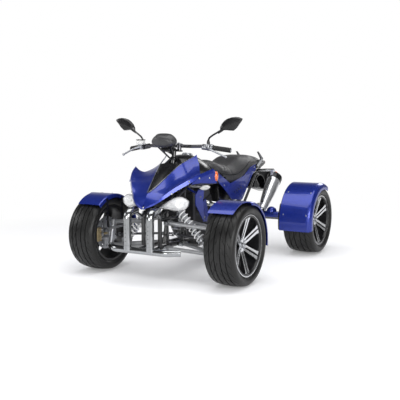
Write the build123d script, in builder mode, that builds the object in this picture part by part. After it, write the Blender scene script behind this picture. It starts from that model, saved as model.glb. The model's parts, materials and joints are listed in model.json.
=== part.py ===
from build123d import *
import math
import os

# Frame: +X to the vehicle's left, +Y rearward, +Z up; the origin is on the ground,
# on the middle plane, midway between the two axles. All sizes are in millimetres.

# ---------------------------------------------------------------- driving dimensions
wheelbase = 1287.0
front_track = 1033.0
rear_track = 1029.0

# Tyres and wheels
front_tyre_radius = 255.0
rear_tyre_radius = 258.0
front_tyre_width = 198.0
rear_tyre_width = 232.0
front_rim_width = 182.0
rear_rim_width = 208.0
rim_seat_radius = 178.0
rim_lip_radius = 191.0
rim_wall = 6.0
twin_spokes = 6
spoke_width = 16.0
spoke_slot = 5.0
spoke_flare = 8.0
spoke_depth = 20.0
rim_dish = 38.0
hub_radius = 42.0
hub_bolt_circle = 29.0
hub_bolt_hole = 6.0
hub_bolts = 4

# Running clearances
pin_clearance = 0.05
skin_gap = 0.3

# Steering
stem_diameter = 28.0
stem_rake = 12.0
stem_foot = (0, -wheelbase / 2, 250)
pitman_reach = 62.0
pitman_half_spread = 18.0
ball_stud_radius = 6.0
tie_rod_diameter = 16.0

# Frame tubes
rail_diameter = 30.0
brace_diameter = 25.0
rail_half_width = 110.0
front_rail_half_width = 50.0
lower_rail_height = 185.0

# Arms
arm_diameter = 25.0
bush_diameter = 32.0
bush_length = 38.0
joint_boss_diameter = 38.0
joint_boss_height = 34.0
joint_pin_radius = 8.0
ear_thickness = 6.0
tab_thickness = 5.0

# Brakes and hubs
front_disc_radius = 112.0
rear_disc_radius = 105.0
disc_thickness = 4.5
spindle_radius = 14.0

# Chain drive
chain_pitch = 15.875
sprocket_teeth = 40
front_sprocket_teeth = 13
chain_centre_x = -84.0

# Fenders
fender_wall = 4.0
front_fender_gap = 13.0
stay_end_drop = 19.0
rear_fender_gap = 27.0

# ---------------------------------------------------------------- places
front_axle_y = -wheelbase / 2
rear_axle_y = wheelbase / 2
front_hub = Vector(front_track / 2, front_axle_y, front_tyre_radius)
rear_hub = Vector(rear_track / 2, rear_axle_y, rear_tyre_radius)

kingpin_low = Vector(front_track / 2 - 80.5, front_axle_y - 8, front_tyre_radius - 79)
kingpin_top = Vector(front_track / 2 - 96.5, front_axle_y + 7, front_tyre_radius + 77)
kingpin_line = (kingpin_top - kingpin_low).normalized()

stem_line = Vector(0, math.sin(math.radians(stem_rake)), math.cos(math.radians(stem_rake)))
stem_rearward = Vector(0, math.cos(math.radians(stem_rake)), -math.sin(math.radians(stem_rake)))

outer_ball_height = 250.0
kingpin_at_ball = kingpin_low + kingpin_line * (
    (outer_ball_height - kingpin_low.Z) / kingpin_line.Z
)
pitman_height = 40.0
pitman_centre = Vector(*stem_foot) + stem_line * pitman_height
inner_ball = pitman_centre + stem_rearward * pitman_reach + Vector(pitman_half_spread, 0, 0)
outer_ball = kingpin_at_ball + stem_rearward * pitman_reach + Vector(pitman_half_spread, 0, 0)


# ---------------------------------------------------------------- shared shapes
def rod(start, end, diameter):
    """A straight round bar between two points."""
    start, end = Vector(*start), Vector(*end)
    with BuildPart() as piece:
        with BuildSketch(Plane(origin=start, z_dir=end - start)):
            Circle(diameter / 2)
        extrude(amount=(end - start).length)
    return piece.part


def rod_along_x(start_x, end_x, y, z, diameter):
    """A straight round bar across the vehicle."""
    return rod((start_x, y, z), (end_x, y, z), diameter)


def rod_along_y(x, start_y, end_y, z, diameter):
    """A straight round bar along the vehicle."""
    return rod((x, start_y, z), (x, end_y, z), diameter)


def bent_rod(points, diameter, bend):
    """A round bar along straight runs joined by arcs."""
    with BuildPart() as piece:
        with BuildLine() as path:
            FilletPolyline(*points, radius=bend)
        with BuildSketch(Plane(origin=path.line @ 0, z_dir=path.line % 0)):
            Circle(diameter / 2)
        sweep(path=path.line)
    return piece.part


def slab(plane, outline, thickness, both=False):
    """A flat plate with a straight-sided outline."""
    with BuildPart() as piece:
        with BuildSketch(plane):
            with BuildLine():
                Polyline(*outline, close=True)
            make_face()
        extrude(amount=thickness, both=both)
    return piece.part


def block(centre, size, radius=0.0):
    """A box with rounded edges."""
    with BuildPart() as piece:
        with Locations(centre):
            Box(*size)
        if radius > 0:
            fillet(piece.edges(), radius)
    return piece.part


def both_sides(part):
    """The piece and its mirror image across the middle plane."""
    with BuildPart() as pair:
        add(part)
        mirror(about=Plane.YZ)
    return pair.part


def cross_plate(outline, place, thickness):
    """A flat plate standing across the vehicle, centred on its place along Y."""
    return slab(Plane.XZ.offset(-place), outline, thickness / 2, both=True)


def trimmed(part, *neighbours):
    """The piece cut back to its neighbours' faces, without the cut-off ends."""
    with BuildPart() as piece:
        add(part)
        for neighbour in neighbours:
            add(neighbour, mode=Mode.SUBTRACT)
    return piece.part.solids().sort_by(SortBy.VOLUME)[-1]


def flipped(vector):
    """The same point on the other side of the middle plane."""
    return Vector(-vector.X, vector.Y, vector.Z)


os.makedirs("parts", exist_ok=True)


def keep(part, label):
    """Label a finished piece and write its file."""
    part.label = label
    export_step(part, f"parts/{label}.step")


# ---------------------------------------------------------------- tyres
def tyre(radius, width, rim_width):
    """A low road tyre about the X axis, seated on its rim."""
    bead = rim_width / 2 - rim_wall - skin_gap
    shoulder = width / 2 - 14
    skirt = rim_lip_radius + 4
    with BuildPart() as body:
        with BuildSketch(Plane.XY):
            with BuildLine():
                ThreePointArc((-shoulder, radius - 9), (0, radius), (shoulder, radius - 9))
                ThreePointArc(
                    (shoulder, radius - 9),
                    (width / 2, (radius + rim_lip_radius) / 2 + 6),
                    (bead + 5, skirt),
                )
                Polyline(
                    (bead + 5, skirt),
                    (bead, skirt),
                    (bead, rim_seat_radius + skin_gap),
                    (-bead, rim_seat_radius + skin_gap),
                    (-bead, skirt),
                    (-bead - 5, skirt),
                )
                ThreePointArc(
                    (-bead - 5, skirt),
                    (-width / 2, (radius + rim_lip_radius) / 2 + 6),
                    (-shoulder, radius - 9),
                )
            make_face()
        revolve(axis=Axis.X)
    return body.part


def rim(width, face_x):
    """An alloy wheel about the X axis: barrel, hub disc and dished twin spokes facing +X."""
    half = width / 2
    inner = rim_seat_radius - rim_wall
    hub_face = face_x - rim_dish
    rim_end = spoke_slot + spoke_width * 1.15
    spoke = [
        (spoke_slot / 2, hub_radius * 0.5),
        (spoke_slot / 2 + spoke_width, hub_radius * 0.5),
        (rim_end, inner - 26),
        (rim_end + spoke_flare, inner + 2),
        (spoke_slot, inner + 2),
    ]
    with BuildPart() as wheel:
        # A dish from the hub's face out to the lip, cut to the outlines of the spokes
        with BuildSketch(Plane.XY):
            Polygon(
                (hub_face - spoke_depth, 0),
                (hub_face, 0),
                (hub_face, hub_radius),
                (face_x, inner + 2),
                (face_x - spoke_depth, inner + 2),
                (hub_face - spoke_depth, hub_radius),
                align=None,
            )
        revolve(axis=Axis.X)
        with BuildSketch(Plane.YZ.offset(hub_face - spoke_depth)):
            Circle(hub_radius)
            with PolarLocations(0, twin_spokes):
                Polygon(*spoke, align=None)
                Polygon(*[(-x, y) for x, y in spoke], align=None)
        extrude(amount=width, mode=Mode.INTERSECT)
        with BuildSketch(Plane.XY):
            Polygon(
                (-half, rim_lip_radius),
                (-half + rim_wall, rim_lip_radius),
                (-half + rim_wall, rim_seat_radius),
                (half - rim_wall, rim_seat_radius),
                (half - rim_wall, rim_lip_radius),
                (half, rim_lip_radius),
                (half, inner + 4),
                (half - 12, inner),
                (-half + 12, inner),
                (-half, inner + 4),
                align=None,
            )
        revolve(axis=Axis.X)
        with BuildSketch(Plane.YZ.offset(hub_face - spoke_depth)):
            Circle(spindle_radius + pin_clearance)
        extrude(amount=spoke_depth, mode=Mode.SUBTRACT)
        with BuildSketch(Plane.YZ.offset(hub_face - spoke_depth / 2)):
            with PolarLocations(hub_bolt_circle, hub_bolts, start_angle=45):
                Circle(hub_bolt_hole)
        extrude(amount=spoke_depth, mode=Mode.SUBTRACT)
    return wheel.part


front_spoke_face = front_rim_width / 2 - 8
rear_spoke_face = rear_rim_width / 2 - 8

front_tyre = tyre(front_tyre_radius, front_tyre_width, front_rim_width)
front_rim = rim(front_rim_width, front_spoke_face)
keep(Location(front_hub) * front_tyre, "front_tyre_left")
keep(Location(flipped(front_hub)) * front_tyre, "front_tyre_right")
keep(Location(front_hub) * front_rim, "front_rim_left")
keep((Location(front_hub) * front_rim).mirror(Plane.YZ), "front_rim_right")

rear_tyre = Location(rear_hub) * tyre(rear_tyre_radius, rear_tyre_width, rear_rim_width)
rear_rim = Location(rear_hub) * rim(rear_rim_width, rear_spoke_face)
keep(both_sides(rear_tyre), "rear_tyres")
keep(both_sides(rear_rim), "rear_rims")

# ---------------------------------------------------------------- front hubs and discs
hub_back_x = front_hub.X - 34
hub_face_x = front_hub.X + front_spoke_face - rim_dish - spoke_depth
with BuildPart() as front_hub_left:
    with BuildSketch(Plane.YZ.offset(hub_back_x)):
        with Locations((front_hub.Y, front_hub.Z)):
            Circle(hub_radius - 8)
    extrude(amount=hub_face_x - hub_back_x)
    with BuildSketch(Plane.YZ.offset(hub_back_x)):
        with Locations((front_hub.Y, front_hub.Z)):
            Circle(front_disc_radius)
            with PolarLocations(front_disc_radius - 22, 12):
                Circle(6, mode=Mode.SUBTRACT)
    extrude(amount=-disc_thickness)
    with BuildSketch(Plane.YZ.offset(hub_back_x - disc_thickness)):
        with Locations((front_hub.Y, front_hub.Z)):
            Circle(spindle_radius + pin_clearance)
    extrude(amount=disc_thickness + hub_face_x - hub_back_x, mode=Mode.SUBTRACT)
keep(front_hub_left.part, "front_hub_left")
keep(front_hub_left.part.mirror(Plane.YZ), "front_hub_right")

# ---------------------------------------------------------------- knuckles
spindle_back_x = kingpin_low.X + 6
upright_top = kingpin_top - kingpin_line * (joint_boss_height / 2 + skin_gap)
upright_foot = kingpin_low + kingpin_line * (joint_boss_height / 2 + skin_gap)
stay_x = front_track / 2 - front_tyre_width / 2 - 17.5
stay_lug_z = front_tyre_radius + 42
knuckle_face_x = hub_back_x - disc_thickness - 5

with BuildPart() as knuckle_left:
    add(rod(upright_foot, upright_top, joint_boss_diameter))
    add(rod(upright_foot, kingpin_low - kingpin_line * (joint_boss_height / 2), 2 * joint_pin_radius))
    add(rod(upright_top, kingpin_top + kingpin_line * (joint_boss_height / 2), 2 * joint_pin_radius))
    add(rod((spindle_back_x - 6, front_hub.Y, front_hub.Z), (knuckle_face_x, front_hub.Y, front_hub.Z), 56))
    add(
        rod(
            (knuckle_face_x, front_hub.Y, front_hub.Z),
            (hub_face_x + spoke_depth - 4, front_hub.Y, front_hub.Z),
            2 * spindle_radius,
        )
    )
    # Steering arm back to the tie rod's ball
    add(rod(kingpin_at_ball - stem_line * 16, outer_ball - stem_line * 25, 18))
    add(rod(outer_ball - stem_line * 32, outer_ball - stem_line * 16, 22))
    add(rod(outer_ball - stem_line * 17, outer_ball + stem_line * 9, 10))
    # Ears for the fender's stay
    add(block((stay_x + 20, front_hub.Y, stay_lug_z), (36, 40, 12)))
    add(block((stay_x + 2, front_hub.Y - 2, stay_lug_z), (4, 168, 16)))
keep(knuckle_left.part, "knuckle_left")
keep(knuckle_left.part.mirror(Plane.YZ), "knuckle_right")

# ---------------------------------------------------------------- front calipers
caliper_radius = front_disc_radius - 8
disc_mid_x = hub_back_x - disc_thickness / 2
with BuildPart() as caliper_left:
    add(block((disc_mid_x, front_hub.Y - caliper_radius, front_hub.Z), (54, 52, 96), 8))
    add(rod_along_y(disc_mid_x - 20, front_hub.Y - 20, front_hub.Y - 95, front_hub.Z, 18))
    with BuildSketch(Plane.YZ.offset(disc_mid_x - disc_thickness / 2 - 5)):
        with Locations((front_hub.Y, front_hub.Z)):
            Circle(front_disc_radius + 5)
    extrude(amount=disc_thickness + 10, mode=Mode.SUBTRACT)
    add(knuckle_left.part, mode=Mode.SUBTRACT)
keep(caliper_left.part, "caliper_left")
keep(caliper_left.part.mirror(Plane.YZ), "caliper_right")

# ---------------------------------------------------------------- front fenders
def fender_skin(hub, radius, reach, inner_drop, roll, outer_drop, sweep):
    """A fender's skin: flat on top with a rolled outer edge, revolved about the wheel's axle.

    reach holds the inner and the outer X, and sweep the front and the rear end in degrees
    from the top, rearward positive.
    """
    top = -(radius + fender_wall)
    left, right = reach[0] - hub.X, reach[1] - hub.X
    half_turn = math.sqrt(0.5)
    inner_roll = roll - fender_wall
    with BuildPart() as skin:
        # The section's own axes: x to the left, y down
        with BuildSketch(Plane(origin=hub, x_dir=(1, 0, 0), z_dir=(0, 1, 0))):
            with BuildLine():
                Polyline(
                    (left, top + inner_drop), (left, top + 6), (left + 6, top), (right - roll, top)
                )
                ThreePointArc(
                    (right - roll, top),
                    (right - roll * (1 - half_turn), top + roll * (1 - half_turn)),
                    (right, top + roll),
                )
                Polyline(
                    (right, top + roll),
                    (right, top + outer_drop),
                    (right - fender_wall, top + outer_drop),
                    (right - fender_wall, top + roll),
                )
                ThreePointArc(
                    (right - fender_wall, top + roll),
                    (
                        right - roll + inner_roll * half_turn,
                        top + roll - inner_roll * half_turn,
                    ),
                    (right - roll, top + fender_wall),
                )
                Polyline(
                    (right - roll, top + fender_wall),
                    (left + 6, top + fender_wall),
                    (left + fender_wall, top + 8),
                    (left + fender_wall, top + inner_drop),
                    (left, top + inner_drop),
                )
            make_face()
        revolve(axis=Axis(hub, (-1, 0, 0)), revolution_arc=sweep[1] - sweep[0])
    return skin.part.rotate(Axis(hub, (1, 0, 0)), -sweep[0])


fender_inner_x = stay_x + 4
fender_outer_x = front_track / 2 + front_tyre_width / 2 + 5
arch = fender_skin(
    front_hub, front_tyre_radius + front_fender_gap, (fender_inner_x, fender_outer_x), 28, 18, 22, (-39, 98)
)
with BuildPart() as fender_left:
    add(arch)
    # The outer edge is cut back ahead of the top
    with BuildSketch(Plane.XY.offset(front_hub.Z)):
        Polygon(
            (fender_outer_x - 46, front_hub.Y - 220),
            (fender_outer_x - 38, front_hub.Y - 132),
            (fender_outer_x - 37, front_hub.Y - 47),
            (fender_outer_x - 22, front_hub.Y - 8),
            (fender_outer_x + 10, front_hub.Y + 30),
            (fender_outer_x + 10, front_hub.Y - 220),
            align=None,
        )
    extrude(amount=front_tyre_radius + 60, mode=Mode.SUBTRACT)
    stay_end_z = front_hub.Z + front_tyre_radius - stay_end_drop
    for end_y, end_z in ((front_hub.Y - 86, stay_end_z), (front_hub.Y + 82, stay_end_z)):
        foot = (end_y + math.copysign(6, front_hub.Y - end_y), stay_lug_z)
        add(
            slab(
                Plane.YZ.offset(stay_x),
                [
                    (foot[0] - 9, foot[1] + 8),
                    (foot[0] + 9, foot[1] + 8),
                    (end_y + 9, end_z + 10),
                    (end_y - 9, end_z + 10),
                ],
                4,
            )
        )
keep(fender_left.part, "front_fender_left")
keep(fender_left.part.mirror(Plane.YZ), "front_fender_right")

# ---------------------------------------------------------------- suspension arms
upper_pivot_x = 84.0
upper_pivot_z = 372.0
lower_pivot_x = 85.0
lower_pivot_z = 210.0
upper_pivot_y = (front_axle_y - 92, front_axle_y + 83)
lower_pivot_y = (front_axle_y - 102, front_axle_y + 90)
shock_top = Vector(92, front_axle_y, 462)
shock_foot = Vector(312, front_axle_y - 4, 226)
shock_line = (shock_foot - shock_top).normalized()
joint_bore_diameter = 2 * (joint_pin_radius + pin_clearance)


def arm(pivot_x, pivot_z, pivots_y, joint):
    """An A-shaped arm: two tubes from their bushes to the ball-joint boss."""
    boss_half = kingpin_line * (joint_boss_height / 2)
    with BuildPart() as piece:
        add(rod(joint - boss_half, joint + boss_half, joint_boss_diameter))
        for pivot_y in pivots_y:
            add(rod((pivot_x, pivot_y, pivot_z), joint, arm_diameter))
            add(
                rod(
                    (pivot_x, pivot_y - bush_length / 2, pivot_z),
                    (pivot_x, pivot_y + bush_length / 2, pivot_z),
                    bush_diameter,
                )
            )
    return piece.part


with BuildPart() as upper_arm:
    add(arm(upper_pivot_x, upper_pivot_z, upper_pivot_y, kingpin_top))
    for pivot_y in upper_pivot_y:
        bolt = rod_along_y(upper_pivot_x, pivot_y - 40, pivot_y + 40, upper_pivot_z, 12)
        add(bolt, mode=Mode.SUBTRACT)
    bore = rod(kingpin_top - kingpin_line * 40, kingpin_top + kingpin_line * 40, joint_bore_diameter)
    add(bore, mode=Mode.SUBTRACT)
keep(both_sides(upper_arm.part), "upper_arms")

shock_seat = rod(shock_foot - Vector(0, 26, 0), shock_foot + Vector(0, 26, 0), 12)
with BuildPart() as lower_arm:
    add(arm(lower_pivot_x, lower_pivot_z, lower_pivot_y, kingpin_low))
    # Cross plate and two ears for the shock's lower eye
    add(block((shock_foot.X, shock_foot.Y, 190), (44, 70, 8)))
    for side in (-1, 1):
        ear_y = shock_foot.Y + side * 20
        add(
            cross_plate(
                [
                    (shock_foot.X - 18, 190),
                    (shock_foot.X + 18, 190),
                    (shock_foot.X + 12, shock_foot.Z + 12),
                    (shock_foot.X - 12, shock_foot.Z + 12),
                ],
                ear_y,
                ear_thickness,
            )
        )
    add(shock_seat)
    for pivot_y in lower_pivot_y:
        bolt = rod_along_y(lower_pivot_x, pivot_y - 40, pivot_y + 40, lower_pivot_z, 12)
        add(bolt, mode=Mode.SUBTRACT)
    bore = rod(kingpin_low - kingpin_line * 40, kingpin_low + kingpin_line * 40, joint_bore_diameter)
    add(bore, mode=Mode.SUBTRACT)
keep(both_sides(lower_arm.part), "lower_arms")

# ---------------------------------------------------------------- front shocks
spring_radius = 27.0
spring_wire = 9.0
spring_turns = 8
shock_length = (shock_foot - shock_top).length
with BuildPart() as shock:
    with BuildSketch(Plane.XZ):
        with BuildLine():
            Polyline(
                (0, 0), (13, 0), (13, 34), (31, 34), (31, 42), (21, 42), (21, 150),
                (10, 150), (10, shock_length - 48), (31, shock_length - 48),
                (31, shock_length - 40), (12, shock_length - 40), (12, shock_length), (0, shock_length),
                close=True,
            )
        make_face()
    revolve(axis=Axis.Z)
shock_plane = Plane(origin=shock_top, x_dir=(0, 1, 0), z_dir=shock_line)
shock_placed = shock_plane.location * shock.part
with BuildPart() as front_shock:
    add(shock_placed)
    for eye in (shock_top, shock_foot):
        add(rod(eye - Vector(0, 16.5, 0), eye + Vector(0, 16.5, 0), 30))
        add(rod(eye - Vector(0, 30, 0), eye + Vector(0, 30, 0), 12), mode=Mode.SUBTRACT)
keep(both_sides(front_shock.part), "front_shocks")

spring_run = shock_length - 48 - 42
with BuildPart() as spring:
    with BuildLine() as coil:
        spring_rise = spring_run - spring_wire
        Helix(pitch=spring_rise / spring_turns, height=spring_rise, radius=spring_radius)
    with BuildSketch(Plane(origin=coil.line @ 0, z_dir=coil.line % 0)):
        Circle(spring_wire / 2)
    sweep(path=coil.line)
spring_placed = shock_plane.location * Location((0, 0, 42 + spring_wire / 2)) * spring.part
keep(both_sides(spring_placed), "front_springs")

# ---------------------------------------------------------------- lower rails
frame_front_y = front_axle_y - 156
with BuildPart() as lower_rail:
    add(
        bent_rod(
            [
                (front_rail_half_width, frame_front_y, 213),
                (front_rail_half_width, front_axle_y + 110, 213),
                (rail_half_width, front_axle_y + 240, lower_rail_height),
                (rail_half_width, 150, lower_rail_height),
                (rail_half_width, 250, 290),
            ],
            rail_diameter,
            60,
        )
    )
keep(both_sides(lower_rail.part), "lower_rails")

# ---------------------------------------------------------------- upper rails
with BuildPart() as upper_rail:
    add(
        bent_rod(
            [
                (62, frame_front_y, 229),
                (62, frame_front_y, 420),
                (66, -650, 505),
                (80, -500, 585),
                (95, -150, 590),
                (100, 230, 585),
                (95, 450, 610),
                (85, 660, 655),
            ],
            rail_diameter - 2,
            30,
        )
    )
    add(lower_rail.part, mode=Mode.SUBTRACT)
keep(both_sides(upper_rail.part), "upper_rails")

# ---------------------------------------------------------------- front frame
stem_low_bearing = Vector(*stem_foot) - stem_line * 6
stem_top_bearing = Vector(*stem_foot) + stem_line * 312
with BuildPart() as front_frame_half:
    # Box rail that carries the upper arms
    add(rod((62, frame_front_y, 395), (62, front_axle_y + 120, 395), brace_diameter))
    # Upright behind the axle
    add(rod((56, front_axle_y + 118, 213), (76, front_axle_y + 124, 590), brace_diameter))
    for pivot_y in upper_pivot_y:
        for side in (-1, 1):
            tab_y = pivot_y + side * (bush_length / 2 + 3)
            add(
                cross_plate(
                    [
                        (60, 385),
                        (60, 405),
                        (upper_pivot_x + 8, upper_pivot_z + 14),
                        (upper_pivot_x + 14, upper_pivot_z - 6),
                        (upper_pivot_x - 6, upper_pivot_z - 14),
                    ],
                    tab_y,
                    tab_thickness,
                )
            )
    for pivot_y in lower_pivot_y:
        for side in (-1, 1):
            tab_y = pivot_y + side * (bush_length / 2 + 3)
            add(
                cross_plate(
                    [
                        (front_rail_half_width, 200),
                        (front_rail_half_width, 226),
                        (lower_pivot_x + 6, lower_pivot_z + 15),
                        (lower_pivot_x + 14, lower_pivot_z - 6),
                        (lower_pivot_x - 6, lower_pivot_z - 14),
                    ],
                    tab_y,
                    tab_thickness,
                )
            )
    for x, z, pivots in (
        (upper_pivot_x, upper_pivot_z, upper_pivot_y),
        (lower_pivot_x, lower_pivot_z, lower_pivot_y),
    ):
        for pivot_y in pivots:
            add(rod((x, pivot_y - bush_length / 2 - 10, z), (x, pivot_y + bush_length / 2 + 10, z), 12))
    # Clevis for the shock's top eye
    add(rod((shock_top.X, shock_top.Y - 26, shock_top.Z), (shock_top.X, shock_top.Y + 26, shock_top.Z), 12))
    for side in (-1, 1):
        ear_y = shock_top.Y + side * 20
        add(
            cross_plate(
                [
                    (58, 470),
                    (58, 500),
                    (shock_top.X + 6, 492),
                    (shock_top.X + 14, 456),
                    (shock_top.X - 12, 450),
                ],
                ear_y,
                ear_thickness,
            )
        )
with BuildPart() as front_frame:
    add(front_frame_half.part)
    mirror(about=Plane.YZ)
    # Cross tubes: two above the lower rails, one at the shock mounts, one in front
    add(rod((-62, frame_front_y, 350), (62, frame_front_y, 350), brace_diameter))
    add(rod((-70, shock_top.Y, 492), (70, shock_top.Y, 492), brace_diameter))
    add(rod((-60, front_axle_y + 118, 330), (60, front_axle_y + 118, 330), brace_diameter))
front_frame_solid = trimmed(front_frame.part, both_sides(lower_rail.part), both_sides(upper_rail.part))
keep(front_frame_solid, "front_frame")

# ---------------------------------------------------------------- steering stem
stem_length = 590.0
stem_head = Vector(*stem_foot) + stem_line * stem_length
with BuildPart() as stem:
    add(rod(Vector(*stem_foot) - stem_line * 26, stem_head, stem_diameter))
    with BuildSketch(Plane(origin=pitman_centre - stem_line * 18, x_dir=(1, 0, 0), z_dir=stem_line)):
        with BuildLine():
            Polyline(
                (-20, -18), (20, -18), (pitman_half_spread + 12, pitman_reach - 4),
                (pitman_half_spread + 6, pitman_reach + 12), (-pitman_half_spread - 6, pitman_reach + 12),
                (-pitman_half_spread - 12, pitman_reach - 4),
                close=True,
            )
        make_face()
    extrude(amount=6)
    for ball in (inner_ball, flipped(inner_ball)):
        add(rod(ball - stem_line * 13, ball + stem_line * 9, 2 * ball_stud_radius))
    # Top plate with the two bar risers
    with BuildSketch(Plane(origin=stem_head, x_dir=(1, 0, 0), z_dir=stem_line)):
        RectangleRounded(110, 44, 10)
    extrude(amount=-8)
keep(stem.part, "steering_stem")

# ---------------------------------------------------------------- tie rods
tie_direction = (outer_ball - inner_ball).normalized()
with BuildPart() as tie_rod:
    add(rod(inner_ball + tie_direction * 10, outer_ball - tie_direction * 16, tie_rod_diameter))
    add(rod(inner_ball - stem_line * 7, inner_ball + stem_line * 7, 30))
    add(rod(outer_ball - stem_line * 7, outer_ball + stem_line * 7, 38))
    ball_bore = 2 * (ball_stud_radius + pin_clearance)
    add(rod(inner_ball - stem_line * 20, inner_ball + stem_line * 20, ball_bore), mode=Mode.SUBTRACT)
    add(rod(outer_ball - stem_line * 20, outer_ball + stem_line * 20, 24), mode=Mode.SUBTRACT)
keep(tie_rod.part, "tie_rod_left")
keep(tie_rod.part.mirror(Plane.YZ), "tie_rod_right")

# ---------------------------------------------------------------- handlebar
bar_diameter = 22.0
bar_centre = stem_head + stem_line * 26
grip_start = Vector(266, bar_centre.Y + 9, 846)
grip_end = Vector(384, bar_centre.Y + 56, 828)
grip_line = (grip_end - grip_start).normalized()
bar_half_points = [
    bar_centre + Vector(60, 0, 0),
    Vector(140, bar_centre.Y - 16, 852),
    Vector(215, bar_centre.Y - 11, 854),
    grip_start,
    grip_end,
]
bar_points = [flipped(p) for p in reversed(bar_half_points)] + bar_half_points
with BuildPart() as handlebar:
    add(bent_rod(bar_points, bar_diameter, 25))
    for side in (-1, 1):
        foot = stem_head + Vector(side * 36, 0, 0)
        add(rod(foot, foot + stem_line * 40, 30))
keep(handlebar.part, "handlebar")

with BuildPart() as grip:
    add(rod(grip_start + grip_line * 12, grip_end + grip_line * 3, 34))
    add(handlebar.part, mode=Mode.SUBTRACT)
keep(both_sides(grip.part), "grips")

# ---------------------------------------------------------------- hand controls
perch = grip_start - grip_line * 14
with BuildPart() as control:
    add(rod(perch, grip_start + grip_line * 10, 44))
    add(block((perch.X + 4, perch.Y - 24, perch.Z + 2), (36, 34, 30), 5))
    add(
        bent_rod(
            [
                (perch.X + 4, perch.Y - 36, perch.Z - 4),
                (perch.X + 40, perch.Y - 52, perch.Z - 14),
                (perch.X + 142, perch.Y - 36, perch.Z - 58),
            ],
            12,
            20,
        )
    )
    add(handlebar.part, mode=Mode.SUBTRACT)
keep(both_sides(control.part), "hand_controls")

# ---------------------------------------------------------------- mirrors
mirror_foot = perch + Vector(0, -4, 21)
with BuildPart() as mirror_half:
    add(bent_rod([mirror_foot, mirror_foot + Vector(2, -4, 40), (350, -506, 962)], 11, 12))
    with BuildSketch(Plane(origin=(345, -494, 958), x_dir=(150, -12, 48), z_dir=(0.05, -1, -0.1))):
        with BuildLine():
            Spline((-12, 2), (30, -10), (74, -28))
            Spline((74, -28), (126, 0), (157, 22))
            Spline((157, 22), (118, 48), (60, 55), (12, 36), (-12, 2))
        make_face()
    extrude(amount=18)
keep(both_sides(trimmed(mirror_half.part, control.part)), "mirrors")

# ---------------------------------------------------------------- instrument pod
pod_centre = Vector(0, -665, 882)
with BuildPart() as pod:
    with BuildSketch(Plane(origin=pod_centre + Vector(0, 34, 12), x_dir=(1, 0, 0), z_dir=(0, 1, 0.35))):
        Ellipse(90, 46)
    with BuildSketch(Plane(origin=pod_centre - Vector(0, 20, 6), x_dir=(1, 0, 0), z_dir=(0, 1, 0.35))):
        Ellipse(82, 40)
    with BuildSketch(Plane(origin=pod_centre - Vector(0, 44, 14), x_dir=(1, 0, 0), z_dir=(0, 1, 0.35))):
        Ellipse(50, 24)
    loft()
    # Bracket back to the top plate
    for x in (-28, 28):
        add(rod(pod_centre + Vector(x, 22, -20), (x, stem_head.Y - 4, stem_head.Z - 4), 10))
keep(trimmed(pod.part, stem.part, handlebar.part), "instrument_pod")

# ---------------------------------------------------------------- cross members
swing_pivot = Vector(0, 215, 262)
with BuildPart() as cross_members:
    for y in (-330, 60):
        add(rod_along_x(-rail_half_width, rail_half_width, y, lower_rail_height, brace_diameter))
    add(rod((-92, -300, 592), (92, -300, 592), brace_diameter))
    add(rod((-100, 262, 584), (100, 262, 584), brace_diameter))
    add(rod((-90, 560, 632), (90, 560, 632), brace_diameter))
    # Stem bearings on their cross plates
    add(block((0, stem_low_bearing.Y, 226), (2 * front_rail_half_width, 60, 8)))
    add(rod(stem_low_bearing - stem_line * 22, stem_low_bearing + stem_line * 14, 52))
    add(block((0, stem_top_bearing.Y, stem_top_bearing.Z - 8), (144, 40, 14)))
    add(rod(stem_top_bearing - stem_line * 18, stem_top_bearing + stem_line * 18, 50))
    stem_bore = rod(
        Vector(*stem_foot) - stem_line * 60,
        Vector(*stem_foot) + stem_line * 600,
        stem_diameter + 2 * pin_clearance,
    )
    add(stem_bore, mode=Mode.SUBTRACT)
    add(both_sides(lower_rail.part), mode=Mode.SUBTRACT)
    add(both_sides(upper_rail.part), mode=Mode.SUBTRACT)
keep(cross_members.part, "cross_members")

with BuildPart() as rear_upright:
    add(rod((rail_half_width, 236, 276), (99, 262, 584), rail_diameter - 2))
    add(rod((rail_half_width - 2, 240, 310), (88, 610, 640), brace_diameter - 3))
    add(lower_rail.part, mode=Mode.SUBTRACT)
    add(upper_rail.part, mode=Mode.SUBTRACT)
    add(cross_members.part, mode=Mode.SUBTRACT)
keep(both_sides(rear_upright.part), "frame_uprights")

# ---------------------------------------------------------------- engine
front_sprocket_radius = chain_pitch / 2 / math.sin(math.pi / front_sprocket_teeth)
with BuildPart() as crankcase:
    add(block((0, -90, 292), (180, 280, 176), 18))
    add(block((0, 60, 280), (120, 100, 120), 14))
    for side, radius in ((1, 92), (-1, 84)):
        add(rod((side * 60, -90, 290), (side * 138, -90, 290), 2 * radius))
    add(rod((-50, 92, 262), (chain_centre_x - 10, 92, 262), 26))
    add(rod((chain_centre_x + 3, 92, 262), (chain_centre_x - 3, 92, 262), 2 * front_sprocket_radius - 6))
    add(cross_members.part, mode=Mode.SUBTRACT)
    add(both_sides(lower_rail.part), mode=Mode.SUBTRACT)
keep(crankcase.part, "crankcase")

cylinder_base = Vector(0, -150, 378)
cylinder_line = Vector(0, -0.34, 0.94).normalized()
cylinder_plane = Plane(origin=cylinder_base, x_dir=(1, 0, 0), z_dir=cylinder_line)
fin_count = 7
fin_pitch = 13.0
with BuildPart() as cylinder:
    with BuildSketch(cylinder_plane):
        RectangleRounded(104, 108, 20)
    extrude(amount=170)
    for index in range(fin_count):
        with BuildSketch(cylinder_plane.offset(24 + index * fin_pitch)):
            RectangleRounded(138, 140, 22)
        extrude(amount=5)
    with BuildSketch(cylinder_plane.offset(120)):
        RectangleRounded(126, 128, 18)
    extrude(amount=58)
    add(crankcase.part, mode=Mode.SUBTRACT)
keep(cylinder.part, "cylinder")

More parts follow.
